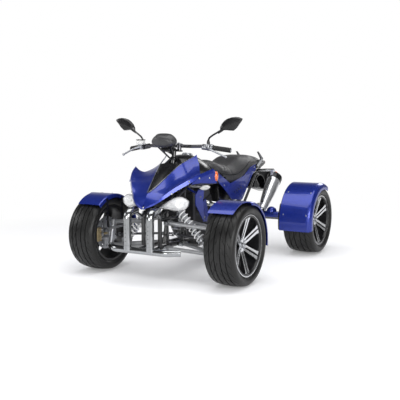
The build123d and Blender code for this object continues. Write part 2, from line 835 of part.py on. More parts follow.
# ---------------------------------------------------------------- radiator
with BuildPart() as radiator:
    add(block((0, -432, 430), (200, 34, 210), 4))
    add(block((0, -432, 548), (150, 44, 30), 8))
    for side in (-1, 1):
        add(rod((side * 84, -432, 528), (side * 84, -432, 588), 14))
keep(trimmed(radiator.part, both_sides(upper_rail.part), front_frame_solid, crankcase.part), "radiator")

# ---------------------------------------------------------------- exhaust
silencer_front = Vector(235, 385, 350)
silencer_rear = Vector(235, 635, 584)
silencer_line = (silencer_rear - silencer_front).normalized()
port = cylinder_base + cylinder_line * 150 + Vector(0, -64, 0)
with BuildPart() as exhaust:
    add(
        bent_rod(
            [
                port,
                (0, port.Y - 70, port.Z - 30),
                (150, port.Y - 60, port.Z - 60),
                (165, -150, 430),
                (168, 120, 400),
                (silencer_front - silencer_line * 50),
                (silencer_front - silencer_line * 1),
            ],
            42,
            34,
        )
    )
exhaust_solid = trimmed(exhaust.part, cylinder.part)
keep(exhaust_solid, "exhaust_pipe")

silencer_length = (silencer_rear - silencer_front).length
silencer_plane = Plane(origin=silencer_front, x_dir=(1, 0, 0), z_dir=silencer_line)
outlet_depth = 60.0
with BuildPart() as can:
    # Tapered can with a chamfered rear end and a recessed outlet
    with BuildSketch(Plane.XZ):
        with BuildLine():
            Line((0, 0), (27, 0))
            Spline(
                (27, 0), (38, silencer_length * 0.2), (50, silencer_length * 0.6), (57, silencer_length - 12)
            )
            Polyline(
                (57, silencer_length - 12), (52, silencer_length), (24, silencer_length),
                (24, silencer_length - outlet_depth), (0, silencer_length - outlet_depth), (0, 0),
            )
        make_face()
    revolve(axis=Axis.Z)
with BuildPart() as silencer:
    add(silencer_plane.location * can.part)
    # Hanger up to the tail
    hanger_y = 586
    hanger_z = 634
    add(block((silencer_rear.X, hanger_y, hanger_z - 16), (22, 40, 50)))
    add(rod((92, hanger_y, hanger_z), (silencer_rear.X, hanger_y, hanger_z), 16))
silencer_solid = trimmed(
    silencer.part, both_sides(upper_rail.part), both_sides(rear_upright.part), exhaust_solid
)
keep(silencer_solid, "silencer")

# ---------------------------------------------------------------- swingarm
beam_x = 56.0
carrier_half = 64.0
axle_diameter = 40.0
with BuildPart() as swingarm:
    add(rod((-96, swing_pivot.Y, swing_pivot.Z), (96, swing_pivot.Y, swing_pivot.Z), 40))
    for side in (-1, 1):
        add(
            slab(
                Plane.YZ.offset(side * beam_x - 10),
                [
                    (swing_pivot.Y - 18, swing_pivot.Z - 18),
                    (swing_pivot.Y - 18, swing_pivot.Z + 20),
                    (swing_pivot.Y + 130, swing_pivot.Z + 42),
                    (rear_axle_y - 30, rear_hub.Z + 36),
                    (rear_axle_y - 30, rear_hub.Z - 32),
                    (swing_pivot.Y + 130, swing_pivot.Z - 20),
                ],
                20,
            )
        )
    add(rod((-carrier_half, rear_axle_y, rear_hub.Z), (carrier_half, rear_axle_y, rear_hub.Z), 104))
    add(block((0, 430, 300), (2 * beam_x + 10, 60, 36)))
    add(
        rod(
            (-carrier_half - 2, rear_axle_y, rear_hub.Z),
            (carrier_half + 2, rear_axle_y, rear_hub.Z),
            axle_diameter + 2 * pin_clearance,
        ),
        mode=Mode.SUBTRACT,
    )
swingarm_solid = trimmed(swingarm.part, both_sides(lower_rail.part), both_sides(rear_upright.part))
keep(swingarm_solid, "swingarm")

# ---------------------------------------------------------------- rear axle
rear_hub_face_x = rear_hub.X + rear_spoke_face - rim_dish - spoke_depth
sprocket_radius = chain_pitch / 2 / math.sin(math.pi / sprocket_teeth)
with BuildPart() as rear_axle:
    add(rod_along_x(-rear_hub_face_x, rear_hub_face_x, rear_axle_y, rear_hub.Z, axle_diameter))
    for side in (-1, 1):
        add(
            rod(
                (side * (rear_hub_face_x - 90), rear_axle_y, rear_hub.Z),
                (side * rear_hub_face_x, rear_axle_y, rear_hub.Z),
                2 * hub_radius - 16,
            )
        )
        add(
            rod(
                (side * rear_hub_face_x, rear_axle_y, rear_hub.Z),
                (side * (rear_hub_face_x + spoke_depth + 6), rear_axle_y, rear_hub.Z),
                2 * spindle_radius,
            )
        )
        add(rod_along_x(side * (carrier_half + 4), side * 100, rear_axle_y, rear_hub.Z, 64))
    with BuildSketch(Plane.YZ.offset(chain_centre_x - 3)):
        with Locations((rear_axle_y, rear_hub.Z)):
            Circle(sprocket_radius + 5)
            with PolarLocations(sprocket_radius, sprocket_teeth):
                Circle(5.2, mode=Mode.SUBTRACT)
            with PolarLocations(sprocket_radius * 0.62, 6):
                Circle(16, mode=Mode.SUBTRACT)
    extrude(amount=6)
    with BuildSketch(Plane.YZ.offset(-chain_centre_x - disc_thickness / 2)):
        with Locations((rear_axle_y, rear_hub.Z)):
            Circle(rear_disc_radius)
            with PolarLocations(rear_disc_radius - 22, 12):
                Circle(6, mode=Mode.SUBTRACT)
    extrude(amount=disc_thickness)
keep(rear_axle.part, "rear_axle")

# ---------------------------------------------------------------- chain
chain_front = Vector(chain_centre_x, 92, 262)
chain_half = 8.0
with BuildPart() as chain:
    with BuildSketch(Plane.YZ.offset(chain_centre_x - chain_half)):
        with BuildLine():
            big = CenterArc((rear_axle_y, rear_hub.Z), sprocket_radius + 17, -83, 166)
            small = CenterArc((chain_front.Y, chain_front.Z), front_sprocket_radius + 17, 97, 166)
            Line(big @ 1, small @ 0)
            Line(small @ 1, big @ 0)
        make_face()
        offset(amount=-7, mode=Mode.SUBTRACT)
    extrude(amount=2 * chain_half)
keep(trimmed(chain.part, crankcase.part), "chain")

# ---------------------------------------------------------------- rear shock
rear_shock_top = Vector(0, 268, 560)
rear_shock_foot = Vector(0, 432, 334)
with BuildPart() as rear_shock:
    add(rod(rear_shock_top, rear_shock_foot, 26))
    rear_shock_run = rear_shock_foot - rear_shock_top
    add(rod(rear_shock_top + rear_shock_run * 0.2, rear_shock_top + rear_shock_run * 0.85, 64))
    add(rod((-14, rear_shock_foot.Y, rear_shock_foot.Z), (14, rear_shock_foot.Y, rear_shock_foot.Z), 34))
keep(trimmed(rear_shock.part, cross_members.part, swingarm_solid), "rear_shock")

# ---------------------------------------------------------------- rear fenders
rear_fender_inner_x = rear_hub.X - rear_tyre_width / 2 - 14
rear_fender_outer_x = rear_hub.X + rear_tyre_width / 2 + 10
rear_fender_radius = rear_tyre_radius + rear_fender_gap
rear_fender = fender_skin(
    rear_hub, rear_fender_radius, (rear_fender_inner_x, rear_fender_outer_x), 34, 36, 50, (-102, 23)
)
keep(both_sides(rear_fender), "rear_fenders")

stay_y = rear_axle_y - 150
stay_z = rear_hub.Z + 42
stay_plate_x = rear_fender_inner_x - 6
with BuildPart() as fender_stay:
    # Box beam out from the swingarm, between the two runs of the chain
    beam_start_x = 66.0
    beam_length = stay_plate_x - beam_start_x
    add(block((beam_start_x + beam_length / 2, stay_y, stay_z), (beam_length, 36, 30)))
    # Plate along the fender's inner wall
    with BuildSketch(Plane.YZ.offset(stay_plate_x)):
        with Locations((rear_hub.Y, rear_hub.Z)):
            Circle(rear_fender_radius - 2)
            Circle(rear_fender_radius - 46, mode=Mode.SUBTRACT)
        Polygon(
            (rear_hub.Y, rear_hub.Z),
            (rear_hub.Y - 400, rear_hub.Z - 80),
            (rear_hub.Y - 400, rear_hub.Z + 230),
            align=None,
            mode=Mode.INTERSECT,
        )
        Polygon(
            (stay_y + 18, stay_z - 15),
            (stay_y + 18, stay_z + 15),
            (rear_hub.Y - rear_fender_radius + 20, stay_z + 34),
            (rear_hub.Y - rear_fender_radius + 20, stay_z - 40),
            align=None,
        )
    extrude(amount=6)
keep(both_sides(trimmed(fender_stay.part, rear_fender, swingarm_solid)), "fender_stay")

# ---------------------------------------------------------------- front bumper
bumper_x = 84.0
bumper_y = front_axle_y - 300
bumper_upright_diameter = 50.0
bumper_bar_diameter = 42.0
bumper_bar_z = 216.0
with BuildPart() as front_bumper:
    for side in (-1, 1):
        add(
            bent_rod(
                [
                    (side * bumper_x, bumper_y, bumper_bar_z),
                    (side * bumper_x, bumper_y, 448),
                    (side * (bumper_x - 6), bumper_y + 86, 462),
                ],
                bumper_upright_diameter,
                38,
            )
        )
        add(rod((side * bumper_x, bumper_y + 60, 460), (side * 64, frame_front_y, 405), 22))
        add(rod_along_y(side * front_rail_half_width, bumper_y + 8, frame_front_y, 213, 26))
    add(
        bent_rod(
            [
                (-256, bumper_y + 60, bumper_bar_z),
                (-190, bumper_y + 10, bumper_bar_z),
                (190, bumper_y + 10, bumper_bar_z),
                (256, bumper_y + 60, bumper_bar_z),
            ],
            bumper_bar_diameter,
            60,
        )
    )
keep(
    trimmed(front_bumper.part, both_sides(upper_rail.part), both_sides(lower_rail.part), front_frame_solid),
    "front_bumper",
)

# ---------------------------------------------------------------- nose wings
wing_wall = 5.0
# Each section of the wing: place along Y, ridge (x, z), lower edge (x, z), the depth of its
# hollow below the chord, and the height of the strip along the lower edge
wing_sections = [
    (-904, (skin_gap / 2, 480), (9, 470), 0.6, 5),
    (-880, (skin_gap / 2, 511), (68, 496), 1, 10),
    (-838, (skin_gap / 2 + 2, 567), (116, 533), 3, 18),
    (-797, (18, 590), (154, 567), 9, 22),
    (-740, (35, 628), (203, 606), 17, 24),
    (-657, (55, 683), (256, 650), 31, 24),
    (-568, (78, 737), (294, 680), 43, 23),
    (-500, (96, 763), (321, 699), 50, 22),
    (-440, (112, 787), (345, 716), 58, 21),
    (-380, (128, 811), (369, 733), 66, 20),
]


def wing_section(place, ridge, edge, hollow, strip):
    """One closed section of the wing's skin, in a plane across the vehicle."""
    crease = (edge[0] - 5, edge[1] + strip)
    run = (crease[0] - ridge[0], crease[1] - ridge[1])
    length = math.hypot(*run)
    down = (run[1] / length, -run[0] / length)

    def skin_point(share, depth):
        return (
            ridge[0] + run[0] * share + down[0] * depth,
            ridge[1] + run[1] * share + down[1] * depth,
        )

    shoulder = skin_point(0.28, hollow * 0.74)
    valley = skin_point(0.6, hollow)
    with BuildSketch(Plane.XZ.offset(-place)) as section:
        with BuildLine():
            Spline(ridge, shoulder, valley, crease)
            Polyline(crease, edge, (edge[0] - wing_wall, edge[1]), (crease[0] - wing_wall, crease[1] - 7))
            Spline(
                (crease[0] - wing_wall, crease[1] - 7),
                (valley[0], valley[1] - wing_wall),
                (shoulder[0] - 1, shoulder[1] - wing_wall - 1),
                (ridge[0], ridge[1] - wing_wall - 2),
            )
            Line((ridge[0], ridge[1] - wing_wall - 2), ridge)
        make_face()
    return section.sketch


ear_plane = Plane(origin=(259, -651, 0), x_dir=(41, 101, 0), z_dir=(101, -41, 0))
# The rear edge in plan, from the peak round the valley to the outer corner
wing_rear_edge = [
    (100, -420), (115, -426), (150, -455), (185, -508), (217, -554), (260, -548), (305, -536),
]
with BuildPart() as wing:
    loft([wing_section(*entry) for entry in wing_sections])
    with BuildSketch(Plane.XY.offset(500)):
        Polygon(*wing_rear_edge, (420, -500), (420, -300), (100, -300), align=None)
    extrude(amount=400, mode=Mode.SUBTRACT)
    split(bisect_by=Plane.YZ.offset(skin_gap / 2), keep=Keep.TOP)
    # Ear that drops from the outer edge
    ear = [(-60, 620), (0, 660), (109, 694), (124, 704), (146, 670), (146, 617), (20, 624)]
    add(slab(ear_plane, ear, -wing_wall))
keep(both_sides(wing.part), "nose_wings")

# ---------------------------------------------------------------- nose panel
# Each section: place along Y, half width and height at the wings' ridges
panel_sections = [(-832, 8, 568), (-797, 20, 589), (-740, 37, 626), (-657, 57, 681), (-568, 80, 735)]
panel_crown = 7.0
with BuildPart() as nose_panel:
    faces = []
    for place, half_width, height in panel_sections:
        top = height + panel_crown * half_width / panel_sections[-1][1]
        with BuildSketch(Plane.XZ.offset(-place)) as section:
            with BuildLine():
                ThreePointArc((-half_width, height), (0, top), (half_width, height))
                Line((half_width, height), (half_width, height - wing_wall))
                ThreePointArc(
                    (half_width, height - wing_wall), (0, top - wing_wall), (-half_width, height - wing_wall)
                )
                Line((-half_width, height - wing_wall), (-half_width, height))
            make_face()
        faces.append(section.sketch)
    loft(faces)
    notch = rod(
        Vector(*stem_foot) + stem_line * 380,
        Vector(*stem_foot) + stem_line * 600,
        stem_diameter + 18,
    )
    add(notch, mode=Mode.SUBTRACT)
    # Stays down to the upper rails
    for side in (-1, 1):
        add(rod((side * 66, -650, 505), (side * 44, -700, 657), 12))
nose_panel_solid = trimmed(
    nose_panel.part, both_sides(wing.part), both_sides(upper_rail.part), cross_members.part
)
keep(nose_panel_solid, "nose_panel")

# ---------------------------------------------------------------- headlights
lamp_inner_end = Vector(57, -800, 467)
lamp_outer_end = Vector(250, -755, 520)
lamp_centre = (lamp_inner_end + lamp_outer_end) / 2
lamp_along = (lamp_outer_end - lamp_inner_end).normalized()
lamp_out = lamp_along.cross(Vector(0, 0, 1)) + Vector(0, 0, 0.09)
lamp_out = (lamp_out - lamp_along * lamp_out.dot(lamp_along)).normalized()
lamp_plane = Plane(origin=lamp_centre, x_dir=lamp_along, z_dir=lamp_out)


def lamp_outline(shrink):
    """The teardrop outline of the lamp, pointed towards the nose."""
    with BuildLine() as line:
        Spline((-104 + shrink, 4), (-31, 33 - shrink), (44, 42 - shrink), (100 - shrink, 0))
        Spline((100 - shrink, 0), (70, -40 + shrink), (4, -38 + shrink), (-104 + shrink, 4))
    return line.line


with BuildPart() as headlight:
    for depth, shrink in ((0, 0), (-30, 5), (-62, 18)):
        with BuildSketch(lamp_plane.offset(depth)):
            add(lamp_outline(shrink))
            make_face()
    loft()
    add(rod(lamp_centre - lamp_out * 50 - lamp_along * 30, (60, -708, 470), 18))
with BuildPart() as lens:
    for depth, shrink in ((0, 3), (8, 7), (14, 16)):
        with BuildSketch(lamp_plane.offset(depth)):
            add(lamp_outline(shrink))
            make_face()
    loft()
headlight_solid = trimmed(headlight.part, upper_rail.part, front_frame_solid, wing.part)
lens_solid = trimmed(lens.part, wing.part)
keep(both_sides(headlight_solid), "headlights")
keep(both_sides(lens_solid), "headlight_lenses")

# ---------------------------------------------------------------- shroud blades
blade_x = 200.0
with BuildPart() as blade:
    # A plate folded along an upright crease, cut to the blade's outline
    with BuildSketch(Plane.XY.offset(320)):
        Polygon(
            (blade_x - 18, -590), (blade_x + 4, -490), (blade_x - 14, -380),
            (blade_x - 19, -380), (blade_x - 1, -490), (blade_x - 23, -590),
            align=None,
        )
    extrude(amount=300)
    with BuildSketch(Plane.YZ.offset(blade_x - 40)):
        Polygon(
            (-537, 572), (-568, 535), (-562, 472), (-485, 356), (-420, 351),
            (-400, 416), (-446, 505), (-498, 491), (-476, 568),
            align=None,
        )
    extrude(amount=60, mode=Mode.INTERSECT)
    add(rod((blade_x - 10, -520, 535), (80, -505, 580), 14))
keep(both_sides(trimmed(blade.part, upper_rail.part, front_frame_solid)), "shroud_blades")

# ---------------------------------------------------------------- tank cover
with BuildPart() as tank_cover:
    for place, half_width, top, foot in (
        (-562, 76, 741, 706),
        (-440, 108, 792, 664),
        (-320, 124, 778, 640),
        (-216, 112, 742, 626),
    ):
        with BuildSketch(Plane.XZ.offset(-place)):
            with BuildLine():
                Line((-half_width, foot), (half_width, foot))
                Spline(
                    (half_width, foot),
                    (half_width * 0.92, (top + foot) / 2 + 10),
                    (half_width * 0.5, top - 8),
                    (0, top),
                    (-half_width * 0.5, top - 8),
                    (-half_width * 0.92, (top + foot) / 2 + 10),
                    (-half_width, foot),
                )
            make_face()
    loft()
    opening = rod(
        Vector(*stem_foot) + stem_line * 380,
        Vector(*stem_foot) + stem_line * 600,
        stem_diameter + 26,
    )
    add(opening, mode=Mode.SUBTRACT)
    add(block((0, -520, 690), (110, 150, 60)), mode=Mode.SUBTRACT)
    for side in (-1, 1):
        add(rod((side * 60, -300, 592), (side * 60, -300, 680), 16))
tank_cover_solid = trimmed(
    tank_cover.part,
    both_sides(wing.part),
    nose_panel_solid,
    both_sides(upper_rail.part),
    cross_members.part,
)
keep(tank_cover_solid, "tank_cover")

# ---------------------------------------------------------------- saddle
# Each section: place along Y, half width, top and foot
saddle_sections = [
    (-222, 62, 756, 700),
    (-130, 94, 745, 640),
    (-40, 118, 719, 594),
    (55, 135, 704, 566),
    (150, 140, 721, 573),
    (245, 140, 752, 602),
    (340, 139, 760, 626),
    (435, 131, 760, 650),
    (530, 117, 753, 672),
    (615, 101, 744, 686),
    (700, 76, 729, 700),
]
with BuildPart() as saddle:
    for place, half_width, top, foot in saddle_sections:
        with BuildSketch(Plane.XZ.offset(-place)):
            with BuildLine():
                Line((-half_width, foot), (half_width, foot))
                Spline(
                    (half_width, foot),
                    (half_width * 0.97, foot + (top - foot) * 0.55),
                    (half_width * 0.62, top - 7),
                    (0, top),
                    (-half_width * 0.62, top - 7),
                    (-half_width * 0.97, foot + (top - foot) * 0.55),
                    (-half_width, foot),
                )
            make_face()
    loft()
    # Hollow between the flaps, over the rails
    add(block((0, 300, 520), (236, 1100, 240)), mode=Mode.SUBTRACT)
    add(block((0, 600, 560), (236, 340, 240)), mode=Mode.SUBTRACT)
saddle_solid = trimmed(saddle.part, tank_cover_solid)
keep(saddle_solid, "saddle")

# ---------------------------------------------------------------- side panels
side_panel_x = 150.0
side_panel_wall = 5.0
with BuildPart() as side_panel:
    # A bowed sheet along Y, cut to the panel's outline
    with BuildSketch(Plane.XZ.offset(300)):
        with BuildLine():
            Spline((side_panel_x - 10, 720), (side_panel_x + 6, 560), (side_panel_x - 6, 420))
            Line((side_panel_x - 6, 420), (side_panel_x - 6 - side_panel_wall, 420))
            Spline(
                (side_panel_x - 6 - side_panel_wall, 420),
                (side_panel_x + 6 - side_panel_wall, 560),
                (side_panel_x - 10 - side_panel_wall, 720),
            )
            Line((side_panel_x - 10 - side_panel_wall, 720), (side_panel_x - 10, 720))
        make_face()
    extrude(amount=-800)
    with BuildSketch(Plane.YZ.offset(side_panel_x - 60)):
        Polygon(
            (-261, 696), (-175, 584), (-131, 561), (36, 453), (214, 433), (296, 542),
            (381, 618), (452, 651), (451, 689), (363, 675), (227, 613), (-4, 572),
            align=None,
        )
    extrude(amount=120, mode=Mode.INTERSECT)
    add(rod((side_panel_x - 6, -226, 672), (104, -226, 672), 16))
    add(rod((side_panel_x - 2, 205, 466), (104, 246, 466), 16))
side_panel_solid = trimmed(side_panel.part, tank_cover_solid, rear_upright.part)
keep(both_sides(side_panel_solid), "side_panels")

# ---------------------------------------------------------------- tail
with BuildPart() as tail_cover:
    for place, half_width, top, foot in ((520, 78, 686, 640), (700, 84, 690, 650), (845, 54, 700, 672)):
        with BuildSketch(Plane.XZ.offset(-place)):
            with Locations((0, (top + foot) / 2)):
                RectangleRounded(2 * half_width, top - foot, 12)
    loft()
    for side in (-1, 1):
        add(
            slab(
                Plane.YZ.offset(side * 94 - 5),
                [(599, 782), (697, 724), (604, 662), (580, 674), (662, 724)],
                10,
            )
        )
        add(block((side * 88, 610, 666), (24, 70, 12)))
tail_cover_solid = trimmed(
    tail_cover.part,
    saddle_solid,
    both_sides(upper_rail.part),
    cross_members.part,
    both_sides(rear_upright.part),
    silencer_solid,
)
keep(tail_cover_solid, "tail_cover")

with BuildPart() as tail_lamp:
    add(block((0, 856, 684), (92, 30, 26), 6))
keep(trimmed(tail_lamp.part, tail_cover_solid), "tail_lamp")

# ---------------------------------------------------------------- plate holder
plate_hole_spacing = 120.0
plate_hole_radius = 3.3
plate_plane_y = rear_axle_y + rear_tyre_radius + 56.5
mudguard_half_width = 84.0
with BuildPart() as plate_holder:
    add(
        slab(
            Plane.YZ.offset(-55),
            [
                (640, 656), (650, 560), (740, 480), (plate_plane_y - 50, 440), (plate_plane_y, 430),
                (plate_plane_y, 540), (plate_plane_y - 4, 540), (plate_plane_y - 4, 452),
                (plate_plane_y - 48, 452), (745, 492), (660, 566), (652, 656),
            ],
            110,
        )
    )
    add(block((0, plate_plane_y - 2, 560), (180, 4, 90)))
    # Inner mudguard, arched over the axle
    with BuildSketch(Plane.YZ.offset(-mudguard_half_width)):
        with BuildLine():
            outer = ThreePointArc((566, 500), (640, 588), (790, 466))
            inner = ThreePointArc((571, 500), (642, 582), (784, 466))
            Line(outer @ 0, inner @ 0)
            Line(outer @ 1, inner @ 1)
        make_face()
    extrude(amount=2 * mudguard_half_width)
    with Locations(Location((0, plate_plane_y, 580), (90, 0, 0))):
        with Locations((-plate_hole_spacing / 2, 0), (plate_hole_spacing / 2, 0)):
            Hole(plate_hole_radius, depth=60)
plate_holder_solid = trimmed(plate_holder.part, tail_cover_solid, cross_members.part)
keep(plate_holder_solid, "plate_holder")

# ---------------------------------------------------------------- turn signals
with BuildPart() as turn_signals:
    for side in (-1, 1):
        add(block((side * 308, -512, 662), (28, 34, 66), 9))
        add(block((side * 104, plate_plane_y - 16, 590), (60, 24, 30), 9))
    add(both_sides(wing.part), mode=Mode.SUBTRACT)
    add(plate_holder_solid, mode=Mode.SUBTRACT)
keep(turn_signals.part, "turn_signals")

# ---------------------------------------------------------------- coolant bottle
bottle_centre = Vector(214, -488, 582)
bottle_half_length = 66.0
bottle_radius = 16.0
with BuildPart() as coolant_bottle:
    # A spindle along Y, rounder in the middle
    with BuildSketch(Plane(origin=bottle_centre, x_dir=(0, 1, 0), z_dir=(1, 0, 0))):
        with BuildLine():
            Line((-bottle_half_length, 0), (-bottle_half_length, 3))
            ThreePointArc((-bottle_half_length, 3), (0, bottle_radius), (bottle_half_length, 3))
            Polyline((bottle_half_length, 3), (bottle_half_length, 0), (-bottle_half_length, 0))
        make_face()
    revolve(axis=Axis(bottle_centre, (0, 1, 0)))
    add(rod(bottle_centre, (81, -470, 586), 12))
keep(trimmed(coolant_bottle.part, upper_rail.part, front_frame_solid), "coolant_bottle")

# ---------------------------------------------------------------- foot pegs
with BuildPart() as foot_pegs:
    for side in (-1, 1):
        add(rod((side * rail_half_width, -40, lower_rail_height), (side * 180, -40, 236), 24))
        add(block((side * 232, -40, 240), (120, 56, 14), 4))
    add(both_sides(lower_rail.part), mode=Mode.SUBTRACT)
    add(crankcase.part, mode=Mode.SUBTRACT)
keep(foot_pegs.part, "foot_pegs")
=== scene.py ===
"""Finishes, tread, padding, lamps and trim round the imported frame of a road-going quad bike."""

import json
import logging
import math
from dataclasses import dataclass
from enum import Enum

import bmesh
import bpy
from mathutils import Matrix, Vector
from mathutils.bvhtree import BVHTree


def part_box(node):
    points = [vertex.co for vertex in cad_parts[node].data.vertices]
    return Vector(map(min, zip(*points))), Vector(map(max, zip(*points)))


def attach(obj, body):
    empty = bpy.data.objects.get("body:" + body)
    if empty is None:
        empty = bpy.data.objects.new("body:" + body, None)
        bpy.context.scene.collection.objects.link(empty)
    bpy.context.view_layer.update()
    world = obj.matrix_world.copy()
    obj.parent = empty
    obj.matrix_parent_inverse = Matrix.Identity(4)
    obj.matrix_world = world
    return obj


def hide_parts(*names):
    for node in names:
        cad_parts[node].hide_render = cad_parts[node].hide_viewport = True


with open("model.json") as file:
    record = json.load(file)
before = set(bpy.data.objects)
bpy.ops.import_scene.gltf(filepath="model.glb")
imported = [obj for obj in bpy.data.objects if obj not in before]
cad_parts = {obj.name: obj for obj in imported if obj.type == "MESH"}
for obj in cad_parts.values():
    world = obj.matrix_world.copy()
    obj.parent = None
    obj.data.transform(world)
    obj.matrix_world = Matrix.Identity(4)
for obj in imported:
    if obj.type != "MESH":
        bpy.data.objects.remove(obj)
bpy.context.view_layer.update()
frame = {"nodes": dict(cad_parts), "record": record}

log = logging.getLogger("quad_bike")

Colour = tuple[float, float, float]
Point = tuple[float, float, float]
Flat = tuple[float, float]
Sides = tuple[int, ...]
Shape = bmesh.types.BMesh
Node = bpy.types.Node
Socket = bpy.types.NodeSocket

LEFT: Sides = (1,)
RIGHT: Sides = (-1,)
BOTH: Sides = (1, -1)
HANDS = ((1, "left"), (-1, "right"))
UP = (0, 0, 1)
OUT = (1, 0, 0)
INWARDS = (-1, 0, 0)
DOWN = (0, 0, -1)

AXLE = 0.6435  # from the middle of the vehicle to each axle
FRONT_HUB = 0.255  # heights of the wheels' centres
REAR_HUB = 0.258
STEM_FOOT = (0, -AXLE, 0.250)
WHITE = (1, 1, 1, 1)


# ------------------------------------------------------------------ shader helpers
class Graph:
    """A thin wrapper that adds and joins the nodes of one node tree."""

    def __init__(self, tree: bpy.types.NodeTree) -> None:
        """Keeps the tree that the nodes go into."""
        self.tree = tree

    def node(self, kind: str, settings: dict | None = None, **inputs: object) -> Node:
        """Adds a node.

        Args:
            kind: Blender's name for the node type.
            settings: attributes of the node itself.
            **inputs: socket values or sockets to join, with _ for a space.

        Returns:
            The new node.
        """
        made = self.tree.nodes.new(kind)
        for key, value in (settings or {}).items():
            setattr(made, key, value)
        for key, value in inputs.items():
            numbered = key[0] == "i" and key[1:].isdigit()
            self.feed(made.inputs[int(key[1:]) if numbered else key.replace("_", " ")], value)
        return made

    def feed(self, socket: Socket, value: object) -> None:
        """Joins a socket to another one, or sets its value."""
        if isinstance(value, Socket):
            self.tree.links.new(value, socket)
        else:
            socket.default_value = value

    def maths(self, operation: str, first: object, second: object = 0.0, clamp: bool = False) -> Socket:
        """Adds a Math node and returns its output."""
        settings = {"operation": operation, "use_clamp": clamp}
        return self.node("ShaderNodeMath", settings, i0=first, i1=second).outputs[0]

    def times(self, first: object, second: object) -> Socket:
        """Multiplies two numbers and returns the product."""
        return self.maths("MULTIPLY", first, second)

    def ramp(
        self, value: object, low: float, high: float, to_low: float = 0.0, to_high: float = 1.0
    ) -> Socket:
        """Maps a value smoothly from one range onto another and returns the output."""
        made = self.node(
            "ShaderNodeMapRange",
            {"interpolation_type": "SMOOTHSTEP"},
            Value=value, From_Min=low, From_Max=high, To_Min=to_low, To_Max=to_high,
        )
        return made.outputs[0]

    def blend(self, mask: object, first: object, second: object) -> Socket:
        """Mixes two colours by a mask and returns the colour."""
        made = self.node("ShaderNodeMix", {"data_type": "RGBA"})
        for index, value in ((0, mask), (6, first), (7, second)):
            self.feed(made.inputs[index], value)
        return made.outputs[2]

    def between(self, mask: object, first: object, second: object) -> Socket:
        """Mixes two numbers by a mask and returns the number."""
        made = self.node("ShaderNodeMix", {"data_type": "FLOAT"})
        for index, value in ((0, mask), (2, first), (3, second)):
            self.feed(made.inputs[index], value)
        return made.outputs[0]


def new_group(
    name: str, inputs: dict[str, float], outputs: tuple[str, ...]
) -> tuple[Graph, Node, Node]:
    """Starts a shader node group.

    Args:
        name: what the effect is.
        inputs: number inputs with their first values; a Vector input is always added.
        outputs: the number outputs.

    Returns:
        The group's graph, its input node and its output node.
    """
    tree = bpy.data.node_groups.new(name, "ShaderNodeTree")
    tree.interface.new_socket("Vector", in_out="INPUT", socket_type="NodeSocketVector")
    for key, value in inputs.items():
        socket = tree.interface.new_socket(key, in_out="INPUT", socket_type="NodeSocketFloat")
        socket.default_value = value
    for key in outputs:
        tree.interface.new_socket(key, in_out="OUTPUT", socket_type="NodeSocketFloat")
    graph = Graph(tree)
    return graph, graph.node("NodeGroupInput"), graph.node("NodeGroupOutput")


def grain_group() -> None:
    """Fine moulded or cast grain: a slow drift of shade and a fine height."""
    graph, given, result = new_group("fine_grain", {"Scale": 300.0}, ("Mask", "Height"))
    vector, scale = given.outputs["Vector"], given.outputs["Scale"]
    slow = graph.node("ShaderNodeTexNoise", Vector=vector, Scale=9.0, Detail=4.0, Roughness=0.6).outputs[0]
    fine = graph.node("ShaderNodeTexNoise", Vector=vector, Scale=scale, Detail=3.0, Roughness=0.6).outputs[0]
    mask = graph.times(graph.ramp(slow, 0.35, 0.7), graph.ramp(fine, 0.3, 0.7, 0.6, 1.0))
    graph.feed(result.inputs["Mask"], mask)
    graph.feed(result.inputs["Height"], fine)


def flake_group() -> None:
    """Metallic flake under lacquer: tiny cells of random brightness over a slow ripple."""
    graph, given, result = new_group("paint_flake", {"Scale": 1400.0}, ("Mask", "Height"))
    vector, scale = given.outputs["Vector"], given.outputs["Scale"]
    cells = graph.node("ShaderNodeTexVoronoi", Vector=vector, Scale=scale)
    sparkle = graph.node("ShaderNodeSeparateColor", Color=cells.outputs["Color"]).outputs[0]
    ripple = graph.node("ShaderNodeTexNoise", Vector=vector, Scale=55.0, Detail=2.0)
    graph.feed(result.inputs["Mask"], graph.ramp(sparkle, 0.2, 1.0))
    graph.feed(result.inputs["Height"], ripple.outputs[0])


def hide_group() -> None:
    """Grained seat cover: rounded pebbles divided by fine furrows."""
    graph, given, result = new_group("cover_grain", {"Scale": 420.0}, ("Mask", "Height"))
    vector, scale = given.outputs["Vector"], given.outputs["Scale"]
    settings = {"feature": "DISTANCE_TO_EDGE"}
    cells = graph.node("ShaderNodeTexVoronoi", settings, Vector=vector, Scale=scale)
    slow = graph.node("ShaderNodeTexNoise", Vector=vector, Scale=14.0, Detail=4.0)
    graph.feed(result.inputs["Mask"], graph.ramp(slow.outputs[0], 0.35, 0.7))
    graph.feed(result.inputs["Height"], graph.ramp(cells.outputs[0], 0.0, 0.3))


def brush_group() -> None:
    """Brushed or turned metal: long fine scratches along the stretched direction."""
    graph, given, result = new_group("brushed_lines", {"Scale": 6.0}, ("Mask", "Height"))
    vector, scale = given.outputs["Vector"], given.outputs["Scale"]
    lines = graph.node("ShaderNodeTexNoise", Vector=vector, Scale=scale, Detail=6.0, Roughness=0.7)
    graph.feed(result.inputs["Mask"], graph.ramp(lines.outputs[0], 0.35, 0.65))
    graph.feed(result.inputs["Height"], lines.outputs[0])


